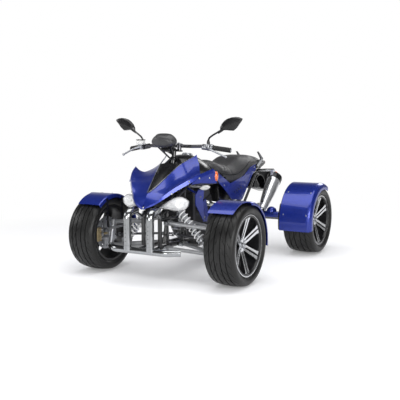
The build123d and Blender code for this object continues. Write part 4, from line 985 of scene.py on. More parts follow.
@dataclass
class Headlamps:
    """Two teardrop lamps: a hollow housing, a bowl in flat white paint that stands for the reflector's
    painted reflection, bulbs and a thin clear cover.
    """

    inner_end: Point = (0.057, -0.800, 0.467)
    outer_end: Point = (0.250, -0.755, 0.520)
    wall: float = 0.0022
    cover_wall: float = 0.0018
    bowl_wall: float = 0.0006
    bowl_shift: float = 0.008
    bowl_steps: tuple[Flat, ...] = ((0.005, 0.93), (0.014, 0.80), (0.022, 0.58), (0.027, 0.30))

    def frame_of_lamp(self) -> None:
        """Works out the lamp's own directions."""
        inner, outer = Vector(self.inner_end), Vector(self.outer_end)
        self.centre = (inner + outer) / 2
        self.along = (outer - inner).normalized()
        out = self.along.cross(Vector(UP)) + Vector((0, 0, 0.09))
        self.out = (out - self.along * out.dot(self.along)).normalized()
        self.up = self.out.cross(self.along)

    def at(self, along: float, up: float, out: float) -> Vector:
        """Returns a place given in the lamp's own directions."""
        return self.centre + self.along * along + self.up * up + self.out * out

    def opened(self, node: str, back: bool) -> Shape:
        """Copies the left lamp's part of a node and takes off its flat face.

        Args:
            node: the frame's node.
            back: whether the flat face looks backwards.

        Returns:
            The open shell.
        """
        shape = copy_of(node)
        right = [vert for vert in shape.verts if vert.co.x < 0]
        bmesh.ops.delete(shape, geom=right, context="VERTS")
        outwards(shape)
        facing = -self.out if back else self.out
        flat = [
            face for face in shape.faces
            if face.normal.dot(facing) > 0.9 and abs(
                (face.calc_center_median() - self.centre).dot(self.out)
            ) < 0.0015
        ]
        bmesh.ops.delete(shape, geom=flat, context="FACES")
        return shape

    def build(self) -> None:
        """Builds the housings, the bowls, the bulbs and the covers."""
        self.frame_of_lamp()
        self.housings()
        self.bowls()
        self.bulbs()
        self.covers()

    def housings(self) -> None:
        """Hollows the housings out behind their open fronts."""
        shape = self.opened("headlights", back=False)
        bmesh.ops.solidify(shape, geom=shape.faces[:], thickness=self.wall)
        form = Form()
        form.set_down(shape, Matrix(), BOTH)
        form.finish("headlamp_housings", "black_plastic", replaces=("headlights",))

    def bowls(self) -> None:
        """Draws the bowl inwards from the rim of the housing; its white paint is a painted reflection in
        place of a mirror reflector.
        """
        shape = self.opened("headlights", back=False)
        rim = [edge for edge in shape.edges if edge.is_boundary]
        corners = {vert for edge in rim for vert in edge.verts}
        bmesh.ops.delete(shape, geom=shape.faces[:], context="FACES_ONLY")
        loose = [edge for edge in shape.edges if not (edge.verts[0] in corners and edge.verts[1] in corners)]
        bmesh.ops.delete(shape, geom=loose, context="EDGES")
        bmesh.ops.delete(shape, geom=[vert for vert in shape.verts if not vert.link_edges], context="VERTS")
        middle = self.at(self.bowl_shift, 0, 0)
        edges = [edge for edge in shape.edges if edge.is_wire]
        depth, last = 0.0, 1.0
        for step, width in self.bowl_steps:
            made = bmesh.ops.extrude_edge_only(shape, edges=edges)["geom"]
            verts = only(bmesh.types.BMVert, made)
            edges = only(bmesh.types.BMEdge, made)
            centre = middle - self.out * depth
            bmesh.ops.scale(shape, vec=(width / last,) * 3, verts=verts, space=Matrix.Translation(-centre))
            bmesh.ops.translate(shape, vec=-self.out * (step - depth), verts=verts)
            depth, last = step, width
        bmesh.ops.holes_fill(shape, edges=edges, sides=0)
        outwards(shape)
        bmesh.ops.solidify(shape, geom=shape.faces[:], thickness=self.bowl_wall)
        form = Form()
        form.set_down(shape, Matrix(), BOTH)
        for along, up, radius in ((0.036, 0.001, 0.030), (-0.030, 0.003, 0.019)):
            dish = [
                (0, -0.016), (0.30 * radius, -0.0155), (0.62 * radius, -0.012), (0.86 * radius, -0.006),
                (radius, 0), (radius * 1.06, 0), (radius * 1.06, -0.004), (0.8 * radius, -0.016),
                (0, -0.0185),
            ]
            form.turn(dish, stand(self.at(along, up, -0.003), self.out), 40, BOTH)
        # White paint on the bowls and dishes is a painted reflection: it stands in for the bright mirror of a
        # reflector.
        form.finish("headlamp_bowls_painted_reflection", "spring_paint")

    def bulbs(self) -> None:
        """Sets a bulb in each bowl."""
        form = Form()
        glass = [(0, 0), (0.005, 0), (0.006, 0.004), (0.0055, 0.012), (0.003, 0.016), (0, 0.017)]
        for along, up, size in ((0.036, 0.001, 1.0), (-0.030, 0.003, 0.8)):
            profile = [(r * size, h * size) for r, h in glass]
            form.turn(profile, stand(self.at(along, up, -0.018), self.out), 16, BOTH)
        form.finish("headlamp_bulbs", "white_plastic")

    def covers(self) -> None:
        """Gives the clear covers their thin wall."""
        shape = self.opened("headlight_lenses", back=True)
        walled(shape, self.cover_wall)
        form = Form()
        form.set_down(shape, Matrix(), BOTH)
        form.finish("headlamp_covers", "clear_lens", replaces=("headlight_lenses",))


# ------------------------------------------------------------------ bodywork
@dataclass
class Bodywork:
    """Bolts, beads, ribs, rivets, vents and the filler cap on the panels."""

    ridge: tuple[Point, ...] = (
        (0.006, -0.838, 0.5705), (0.0185, -0.797, 0.5925), (0.0355, -0.740, 0.6305), (0.0555, -0.657, 0.6855),
        (0.0785, -0.568, 0.7395), (0.0965, -0.500, 0.7650), (0.1090, -0.450, 0.7850),
    )
    bead_radius: float = 0.0022
    wing_bolts: tuple[Point, ...] = (
        (0.282, -0.565, 0.650), (0.215, -0.704, 0.635), (0.150, -0.800, 0.565), (0.248, -0.640, 0.652),
    )
    bolt_size: float = 0.013
    rivet_size: float = 0.011
    cap_teeth: int = 12
    vents: int = 4

    def build(self) -> None:
        """Builds the trim of every panel."""
        self.painted_highlight_ridge_beads()
        self.panel_bolts()
        self.nose_details()
        self.tank_details()
        self.side_panel_details()
        self.fender_details()

    def painted_highlight_ridge_beads(self) -> None:
        """Runs a bright alloy bead along both edges of the nose panel: a painted highlight on the panel's
        ridges.
        """
        form = Form()
        # The bright beads are a painted highlight: they stand for the light caught along the glossy ridges.
        form.pipe(list(self.ridge), self.bead_radius, BOTH)
        form.finish("painted_highlight_ridge_beads", "damper_alloy")

    def panel_bolts(self) -> None:
        """Sets the bright bolts of the wings and the shroud blades."""
        form = Form()
        wings, blades = Skin("nose_wings"), Skin("shroud_blades")
        for x, y, z in self.wing_bolts:
            away = Vector((0.9, -0.4, 0.3)).normalized()
            form.bolt_on(wings, Vector((x, y, z)) + away * 0.08, -away, self.bolt_size)
        for y, z in ((-0.520, 0.525), (-0.470, 0.385)):
            form.bolt_on(blades, (0.4, y, z), INWARDS)
        form.finish("panel_bolts", "damper_alloy")

    def nose_details(self) -> None:
        """Raises two ribs on each half of the black nose panel."""
        skin, form = Skin("nose_panel"), Form()
        for start, end in (((0.012, -0.775), (0.034, -0.640)), ((0.030, -0.700), (0.058, -0.600))):
            spots = [tuple(a + (b - a) * (step / 5) for a, b in zip(start, end)) for step in range(6)]
            form.pipe(skin.under(spots, 0.0004), 0.0018, BOTH)
        form.finish("nose_ribs", "black_plastic")

    def tank_details(self) -> None:
        """Puts the filler cap and the seams on the tank cover."""
        skin = Skin("tank_cover")
        place, normal = skin.hit((0, -0.355, 1.0), DOWN)
        cap, form = place + Vector((0, 0, -0.002)), Form()
        profile = [
            (0, 0), (0.039, 0), (0.039, 0.004), (0.0375, 0.0055), (0.033, 0.0055), (0.033, 0.013),
            (0.031, 0.015), (0.012, 0.0155), (0.010, 0.0135), (0, 0.0135),
        ]
        form.turn(profile, stand(cap, normal), 40)
        for index in range(self.cap_teeth):
            turn = math.tau * index / self.cap_teeth
            spot = stand(cap, normal) @ Vector((*around((0, 0), 0.033, turn), 0.0095))
            form.block((0.0045, 0.0045, 0.006), stand(spot, normal, math.degrees(turn)), 0.001, 1)
        form.finish("filler_cap", "damper_alloy")
        seam = Form()
        for x in (0.052, 0.086):
            bows = [0.86 + 0.3 * math.sin(math.pi * (step + 1) / 10) for step in range(9)]
            spots = [(x * bow, -0.500 + 0.270 * step / 8) for step, bow in enumerate(bows)]
            seam.pipe(skin.under(spots, -0.0004), 0.0016, BOTH)
        seam.finish("tank_cover_seams", "black_plastic")

    def side_panel_details(self) -> None:
        """Adds the bolts and the vent slots of the side panels."""
        skin, form = Skin("side_panels"), Form()
        for y, z in ((-0.226, 0.668), (0.205, 0.466), (0.420, 0.668), (-0.100, 0.566)):
            form.bolt_on(skin, (0.4, y, z), INWARDS)
        form.finish("side_panel_bolts", "damper_alloy")
        slots = Form()
        for index in range(self.vents):
            y, z = 0.070 + 0.032 * index, 0.503 + 0.010 * index
            place, normal = skin.hit((0.4, y, z), INWARDS)
            slots.block((0.006, 0.040, 0.0024), stand(place, normal, 62), 0.001, 2, BOTH)
        slots.finish("side_panel_vents", "black_plastic")

    def fender_details(self) -> None:
        """Rivets the fenders to their stays."""
        skin, form = Skin("rear_fenders"), Form()
        for x, y, z in ((0.420, 0.45, 0.50), (0.600, 0.45, 0.50), (0.420, 0.37, 0.32), (0.600, 0.37, 0.32)):
            middle = Vector((x, AXLE, REAR_HUB))
            away = (Vector((x, y, z)) - middle).normalized()
            form.bolt_on(skin, middle + away * 0.42, -away, self.rivet_size)
        form.finish("rear_fender_rivets", "damper_alloy")
        for side, name in HANDS:
            skin, form = Skin(f"front_fender_{name}"), Form()
            for x in (0.452, 0.540):
                for turn in (8, 34):
                    out = Vector((0, math.sin(math.radians(turn)), math.cos(math.radians(turn))))
                    middle = Vector((side * x, -AXLE, FRONT_HUB))
                    form.bolt_on(skin, middle + out * 0.36, -out, self.rivet_size, LEFT)
            form.finish(f"front_fender_{name}_rivets", "damper_alloy", f"knuckle_{name}")


# ------------------------------------------------------------------ cockpit
@dataclass
class Cockpit:
    """Instrument pod, bar clamps, grips, levers, switches and mirrors."""

    body: str = "steering"
    pod_lean: float = 19
    perch_back: float = 0.014
    ticks: int = 21
    bar_centre: Point = (0.0, -0.5154, 0.8525)
    stem_line: Point = (0.0, 0.2079, 0.9781)
    grip_start: Point = (0.266, -0.5064, 0.846)
    grip_end: Point = (0.384, -0.4594, 0.828)
    pod_centre: Point = (0.0, -0.665, 0.882)
    pod_outline: tuple[Flat, ...] = (
        (-0.091, -0.002), (-0.079, 0.022), (-0.056, 0.041), (-0.028, 0.0455), (0.0, 0.046), (0.028, 0.0455),
        (0.056, 0.041), (0.079, 0.022), (0.091, -0.002), (0.082, -0.022), (0.060, -0.036), (0.030, -0.042),
        (0.0, -0.0435), (-0.030, -0.042), (-0.060, -0.036), (-0.082, -0.022),
    )

    def __post_init__(self) -> None:
        """Works out the line of the left grip and the place of its perch."""
        self.start, self.end = Vector(self.grip_start), Vector(self.grip_end)
        self.line = (self.end - self.start).normalized()
        self.perch = self.start - self.line * self.perch_back

    def build(self) -> None:
        """Builds everything that turns with the bar."""
        self.pod()
        self.clamps()
        self.grips()
        self.controls()
        self.mirrors()

    def pod(self) -> None:
        """Builds the hooded pod and its lip, its dial and its struts."""
        place = Matrix.Translation(self.pod_centre) @ Matrix.Rotation(math.radians(self.pod_lean), 4, "X")
        shape, rim_depth = bmesh.new(), 0.006
        rows = (
            (0, 1.0, 1.0, 0), (-0.020, 0.985, 0.97, 0.0), (-0.026, 0.93, 0.89, 0.001),
            (-0.012, 0.72, 0.66, 0.002), (-0.004, 0.34, 0.3, 0.002),
        )
        steps = [
            ((wide / before[1], 1, high / before[2]), (0, forward, lift))
            for before, (forward, wide, high, lift) in zip(rows, rows[1:])
        ]
        drawn_out(shape, [(x, 0.034, z) for x, z in self.pod_outline], steps)
        dash = [item for item in shape.faces if all(abs(vert.co.y - 0.034) < 1e-6 for vert in item.verts)]
        outwards(shape)
        bmesh.ops.inset_region(shape, faces=dash, thickness=0.007, depth=0)
        bmesh.ops.inset_region(shape, faces=dash, thickness=0.002, depth=-rim_depth)
        form = Form()
        form.add(shape, place)
        piece = form.finish("pod_hood", "grey_plastic", self.body, ("instrument_pod",), crease=50)
        rounder = piece.modifiers.new("rounder", "SUBSURF")
        rounder.levels = rounder.render_levels = 2
        lip = Form()
        for corners, share, back, radius, closed in (
            (self.pod_outline[9:16], 0.955, 0.018, 0.0028, False),
            (self.pod_outline, 0.965, 0.033, 0.0022, True),
        ):
            points = [tuple(place @ Vector((x * share, back, z * share))) for x, z in corners]
            lip.pipe(points, radius, closed=closed)
        lip.finish("pod_lip", "black_plastic", self.body)
        self.dial(place)
        self.pod_struts()

    def dial(self, place: Matrix) -> None:
        """Sets the dial, its ticks, its needle and two warning lamps in the dash."""
        face = place @ stand((0, 0.029, 0.002), (0, 1, 0))
        form = Form()
        ring = [(0.0265, -0.001), (0.0300, -0.001), (0.0300, 0.004), (0.0285, 0.0052), (0.0265, 0.004)]
        form.turn(ring, face, 48, ring=True)
        for index in range(self.ticks):
            turn = math.radians(-135 + 270 * index / (self.ticks - 1))
            size = 0.005 if index % 5 == 0 else 0.003
            spot = Vector((0.0225 * math.sin(turn), 0.0225 * math.cos(turn), 0.0012))
            tick = face @ Matrix.Translation(spot) @ Matrix.Rotation(-turn, 4, "Z")
            form.block((0.0009, size, 0.0006), tick, 0.0002, 1)
        for side in (1, -1):
            lamp = face @ Matrix.Translation((side * 0.050, 0, 0))
            form.turn(band(0.0085, 0.0105, 0, 0.002), lamp, 24, ring=True)
        form.finish("dial_rings", "damper_alloy", self.body)
        plate = Form()
        plate.turn(band(0, 0.0268, -0.001, 0.0008), face, 40)
        for side in (1, -1):
            lamp = face @ Matrix.Translation((side * 0.050, 0, 0))
            plate.turn(
                [(0, -0.001), (0.0086, -0.001), (0.0086, 0.0005), (0.004, 0.0016), (0, 0.0019)], lamp, 20,
            )
        plate.finish("dial_plate", "black_plastic", self.body)
        needle = Form()
        turn = Matrix.Rotation(math.radians(128), 4, "Z")
        outline = [(-0.0016, -0.005), (0.0016, -0.005), (0.0004, 0.020), (-0.0004, 0.020)]
        needle.plate(outline, 0.0006, face @ Matrix.Translation((0, 0, 0.0018)) @ turn)
        needle.turn([(0, 0.0008), (0.0034, 0.0008), (0.0030, 0.0034), (0, 0.0036)], face, 20)
        needle.finish("dial_needle", "red_lens", self.body)

    def pod_struts(self) -> None:
        """Carries the pod on a bracket and two struts down to the stem."""
        form = Form()
        for start, end, radius in (
            ((0.028, -0.642, 0.866), (0.028, -0.528, 0.823), 0.005),
            ((0.047, -0.648, 0.850), (0.012, -0.556, 0.772), 0.0058),
        ):
            middle = tuple((a + b) / 2 for a, b in zip(start, end))
            form.pipe([start, middle, end], radius, BOTH, smooth=False)
        form.block((0.072, 0.060, 0.040), stand((0, -0.610, 0.838), (0, 0.2, 1)), 0.006, 3, taper=0.86)
        form.block((0.030, 0.050, 0.012), stand((0, -0.570, 0.812), (0, 0.35, 1)), 0.003)
        collar = [
            (0.0142, -0.012), (0.020, -0.012), (0.021, -0.010), (0.021, 0.010), (0.020, 0.012),
            (0.0142, 0.012),
        ]
        spot = Vector(STEM_FOOT) + Vector(self.stem_line) * 0.530
        form.turn(collar, stand(spot, self.stem_line), 32, ring=True)
        form.finish("pod_bracket", "black_plastic", self.body)

    def clamps(self) -> None:
        """Caps the bar with two clamps and closes the stem with its nut."""
        form, line = Form(), Vector(self.stem_line)
        rear = Vector((0, 0.9781, -0.2079))
        spot = Vector(self.bar_centre) + Vector((0.036, 0, 0)) + line * 0.008
        form.block((0.026, 0.046, 0.014), stand(spot + line * 0.004, line), 0.003, 3, BOTH)
        for reach in (-0.016, 0.016):
            form.bolt(spot + rear * reach + line * 0.011, line, 0.009, Head.SOCKET, BOTH)
        head = Vector(STEM_FOOT) + line * 0.590
        form.turn(
            [(0, 0), (0.017, 0), (0.017, 0.003), (0.012, 0.004), (0.012, 0.012), (0, 0.013)],
            stand(head, line), 6,
        )
        form.finish("bar_clamps", "plain_alloy", self.body)

    def grips(self) -> None:
        """Turns the ribbed grips with their end weights."""
        start, end, line = self.start, self.end, self.line
        length = (end - start).length
        profile = [(0.0112, 0.013), (0.0185, 0.013), (0.0195, 0.0145), (0.0195, 0.018), (0.0168, 0.020)]
        reach = 0.024
        while reach < length - 0.004:
            profile += [
                (0.0152, reach), (0.0152, reach + 0.0014), (0.0168, reach + 0.0024),
                (0.0168, reach + 0.0046),
            ]
            reach += 0.0062
        profile += [
            (0.0170, length - 0.002), (0.0176, length), (0.0176, length + 0.002),
            (0.0112, length + 0.002),
        ]
        form = Form()
        form.turn(profile, stand(start, line), 28, BOTH, ring=True)
        form.finish("ribbed_grips", "grip_rubber", self.body, ("grips",))
        weight = Form()
        knob = [
            (0, 0), (0.0128, 0), (0.0128, 0.004), (0.0115, 0.006), (0.006, 0.0065), (0.005, 0.005),
            (0, 0.005),
        ]
        weight.turn(knob, stand(end + line * 0.0015, line), 24, BOTH)
        weight.finish("bar_end_weights", "plain_alloy", self.body)

    def controls(self) -> None:
        """Adds the reservoir, the switch pods, the lever ends and the adjusters."""
        line, perch = self.line, self.perch
        cups = Form()
        spot = perch + Vector((0.004, -0.026, 0.026))
        cups.block((0.050, 0.036, 0.030), stand(spot), 0.004, 3, RIGHT)
        cups.finish("brake_reservoir", "white_plastic", self.body)
        lid = Form()
        lid.block((0.053, 0.039, 0.006), stand(spot + Vector((0, 0, 0.017))), 0.002, 2, RIGHT)
        for side in (-1, 1):
            lid.bolt(spot + Vector((side * 0.018, 0, 0.020)), UP, 0.007, Head.DOME, RIGHT)
        pod = perch + Vector((-0.030, 0.004, 0.000))
        lid.block((0.030, 0.034, 0.040), stand(pod, line, 10), 0.006, 3, BOTH)
        for drop in (0.004, -0.010):
            lid.block((0.010, 0.006, 0.008), stand(pod + Vector((0, 0.019, drop))), 0.002, 2, BOTH)
        lid.finish("switch_pods", "grey_plastic", self.body)
        bright = Form()
        tip = perch + Vector((0.142, -0.036, -0.058))
        ball = [
            (0, -0.009), (0.0045, -0.0078), (0.0078, -0.0045), (0.009, 0), (0.0078, 0.0045),
            (0.0045, 0.0078), (0, 0.009),
        ]
        bright.turn(ball, stand(tip), 18, BOTH)
        bright.turn(
            [
                (0, -0.010), (0.006, -0.010), (0.006, 0.004), (0.0085, 0.005), (0.0085, 0.011),
                (0.0040, 0.013), (0, 0.013),
            ],
            stand(perch + Vector((-0.010, -0.044, -0.002)), (-0.9, -0.3, 0.05)), 16, BOTH,
        )
        bright.turn(band(0.0115, 0.0235, -0.006, 0.006), stand(perch, line), 32, BOTH, ring=True)
        bright.bolt(perch + Vector((0.006, -0.040, 0.012)), UP, 0.010, Head.HEX, BOTH)
        bright.bolt(perch + Vector((-0.004, -0.012, 0.020)), (-0.2, -0.3, 0.9), 0.007, Head.SOCKET, BOTH)
        bright.finish("lever_fittings", "plain_alloy", self.body)

    def mirrors(self) -> None:
        """Builds the mirrors: a creased shell, a glass and a bent stalk."""
        foot = self.perch + Vector((0, -0.004, 0.021))
        out = Vector((0.05, -1, -0.1)).normalized()
        along = Vector((0.150, -0.012, 0.048))
        along = (along - out * along.dot(out)).normalized()
        basis = Matrix((along, out.cross(along), out)).transposed().to_4x4()
        place = Matrix.Translation((0.345, -0.494, 0.958)) @ basis
        outline = (
            (-0.014, 0.004), (0.006, -0.003), (0.030, -0.010), (0.052, -0.020), (0.074, -0.028),
            (0.102, -0.018),
            (0.128, 0.000), (0.146, 0.011), (0.158, 0.022), (0.138, 0.039), (0.116, 0.049), (0.088, 0.055),
            (0.060, 0.056), (0.034, 0.050), (0.010, 0.037), (-0.006, 0.022),
        )
        shape = bmesh.new()
        rows = ((0.009, 1.0, 1.0), (0.009, 0.90, 0.84), (0.006, 0.86, 0.07))
        steps = [((wide, high, 1), (0, 0.002 * index, rise)) for index, (rise, wide, high) in enumerate(rows)]
        drawn_out(shape, [(x, y, 0) for x, y in outline], steps, Matrix.Translation((-0.066, -0.010, 0)))
        form = Form()
        form.add(shape, place, BOTH)
        stalk = [
            foot, foot + Vector((0.001, -0.003, 0.026)), foot + Vector((0.014, -0.004, 0.046)),
            Vector((0.344, -0.505, 0.958)), Vector((0.362, -0.507, 0.972)),
        ]
        form.pipe([tuple(point) for point in stalk], 0.0058, BOTH)
        boot = [(0, -0.002), (0.0105, -0.002), (0.0105, 0.014), (0.0085, 0.017), (0.0072, 0.026), (0, 0.026)]
        form.turn(boot, stand(foot), 20, BOTH)
        sleeve = Vector((0.338, -0.505, 0.953))
        form.turn(
            [(0, -0.024), (0.007, -0.024), (0.0095, 0.004), (0.0095, 0.018), (0, 0.018)],
            stand(sleeve, (0.82, 0, 0.57)), 16, BOTH,
        )
        form.finish("mirror_shells", "black_plastic", self.body, ("mirrors",), crease=24)
        glass = Form()
        shrunk = [(0.066 + (x - 0.066) * 0.93, 0.012 + (y - 0.012) * 0.90) for x, y in outline]
        glass.plate(shrunk, 0.0015, place @ Matrix.Translation((0, 0, -0.0012)), 0.0004, BOTH)
        glass.finish("mirror_glasses", "bright_steel", self.body)


# ------------------------------------------------------------------ front end
@dataclass
class FrontEnd:
    """Pivot bolts, spring collars, ball-joint caps, caliper bolts, tie-rod nuts and bumper ends."""

    upper_pivots: tuple[Point, ...] = ((0.084, -0.7355, 0.372), (0.084, -0.5605, 0.372))
    lower_pivots: tuple[Point, ...] = ((0.085, -0.7455, 0.210), (0.085, -0.5535, 0.210))
    pivot_reach: float = 0.029
    shock_top: Point = (0.092, -0.6435, 0.462)
    shock_foot: Point = (0.312, -0.6475, 0.226)
    bar_end: Point = (0.256, -0.8835, 0.216)
    notches: int = 6

    def build(self) -> None:
        """Builds the fittings of the frame's front and of both knuckles."""
        form = Form()
        for x, y, z in self.upper_pivots + self.lower_pivots:
            for side in (-1, 1):
                form.bolt((x, y + side * self.pivot_reach, z), (0, side, 0), 0.019, Head.HEX, BOTH)
        for x, y, z in (self.shock_top, self.shock_foot):
            for side in (-1, 1):
                form.bolt((x, y + side * 0.026, z), (0, side, 0), 0.018, Head.HEX, BOTH)
        form.finish("pivot_bolts", "plain_alloy")
        self.shock_fittings()
        self.joint_caps()
        self.bumper()
        for side, name in HANDS:
            self.caliper(side, name)
            self.rod_nuts(side, name)

    def shock_fittings(self) -> None:
        """Screws notched collars against the ends of both springs."""
        top, foot, form = Vector(self.shock_top), Vector(self.shock_foot), Form()
        line = (foot - top).normalized()
        for reach, way in ((0.0335, -1), ((foot - top).length - 0.0395, 1)):
            place = stand(top + line * reach, line * way)
            form.turn(
                [(0.0135, 0), (0.0285, 0), (0.0295, 0.0015), (0.0295, 0.006), (0.0135, 0.006)], place, 36,
                BOTH, ring=True,
            )
            for index in range(self.notches):
                turned = place @ Matrix.Rotation(math.tau * index / self.notches, 4, "Z")
                notch = turned @ Matrix.Translation((0.0295, 0, 0.003))
                form.block((0.004, 0.007, 0.0045), notch, 0.0008, 1, BOTH)
        form.finish("spring_collars", "frame_paint")

    def joint_caps(self) -> None:
        """Caps the ball joints of the arms."""
        low, top, form = Vector((0.436, -0.6515, 0.176)), Vector((0.420, -0.6365, 0.332)), Form()
        line = (top - low).normalized()
        cap = [(0, 0), (0.0165, 0), (0.0165, 0.002), (0.014, 0.005), (0.006, 0.0068), (0, 0.007)]
        form.turn(cap, stand(low - line * 0.0172, -line), 28, BOTH)
        form.turn(cap, stand(top + line * 0.0172, line), 28, BOTH)
        form.finish("ball_joint_caps", "axle_steel")

    def bumper(self) -> None:
        """Caps the ends of the bumper's bar, sets rings on its uprights and lays black discs down them as
        painted shade of perforations that are not cut.
        """
        form, end = Form(), Vector(self.bar_end)
        out = Vector((0.066, 0.050, 0)).normalized()
        cap = [
            (0, -0.001), (0.0215, -0.001), (0.0222, 0.001), (0.0222, 0.006), (0.020, 0.0075),
            (0.008, 0.0085), (0, 0.0085),
        ]
        form.turn(cap, stand(end, out), 32, BOTH)
        for x, z in ((0.084, 0.246), (0.084, 0.410)):
            ring = [(0.0252, -0.004), (0.0264, -0.0035), (0.0264, 0.0035), (0.0252, 0.004)]
            form.turn(ring, stand((x, -0.9435, z)), 36, BOTH, ring=True)
        form.finish("bumper_fittings", "bright_steel")
        # Black discs down each upright are painted shade: they stand for the dark of perforations that are
        # not cut.
        painted_hole_shades = Form()
        for z in (0.275, 0.300, 0.325, 0.350, 0.375):
            painted_hole_shades.turn(
                [(0, -0.0004), (0.0032, -0.0004), (0.0026, 0.0008), (0, 0.001)],
                stand((0.084, -0.9686, z), (0, -1, 0)), 12, BOTH,
            )
        painted_hole_shades.finish("bumper_painted_hole_shade", "frame_paint")

    def caliper(self, side: int, name: str) -> None:
        """Bolts the caliper and gives it a cap and a bleed nipple."""
        skin, form = Skin(f"caliper_{name}"), Form()
        low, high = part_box(f"caliper_{name}")
        y = (low[1] + high[1]) / 2
        for drop in (-0.030, 0.030):
            place, _ = skin.hit((side * 0.25, y - 0.006, (low[2] + high[2]) / 2 + drop), (side, 0, 0))
            form.bolt(place, (-side, 0, 0), 0.013, Head.HEX)
        place, _ = skin.hit((side * 0.25, y - 0.004, (low[2] + high[2]) / 2), (side, 0, 0))
        form.turn(
            [(0, 0), (0.014, 0), (0.014, 0.002), (0.012, 0.003), (0, 0.003)],
            stand(place, (-side, 0, 0)), 28,
        )
        form.turn(
            [(0, 0), (0.004, 0), (0.004, 0.008), (0.0025, 0.009), (0.0025, 0.014), (0, 0.014)],
            stand((place.x, y, high[2] - 0.001), UP), 10,
        )
        form.finish(f"caliper_{name}_bolts", "plain_alloy", f"knuckle_{name}")

    def rod_nuts(self, side: int, name: str) -> None:
        """Locks the tie rod's ends with nuts."""
        low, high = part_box(f"tie_rod_{name}")
        inner, form = Vector((side * 0.018, -0.5745, 0.276)), Form()
        end = high[0] - 0.019 if side > 0 else -low[0] - 0.019
        outer = Vector((side * end, (low[1] + high[1]) / 2, 0.237))
        line = (outer - inner).normalized()
        nut = [(0.0078, 0), (0.0125, 0), (0.0135, 0.0015), (0.0135, 0.0085), (0.0125, 0.010), (0.0078, 0.010)]
        for reach in (0.028, (outer - inner).length - 0.038):
            form.turn(nut, stand(inner + line * reach, line), 6, ring=True)
        form.finish(f"tie_rod_{name}_nuts", "plain_alloy", f"tie_rod_{name}")


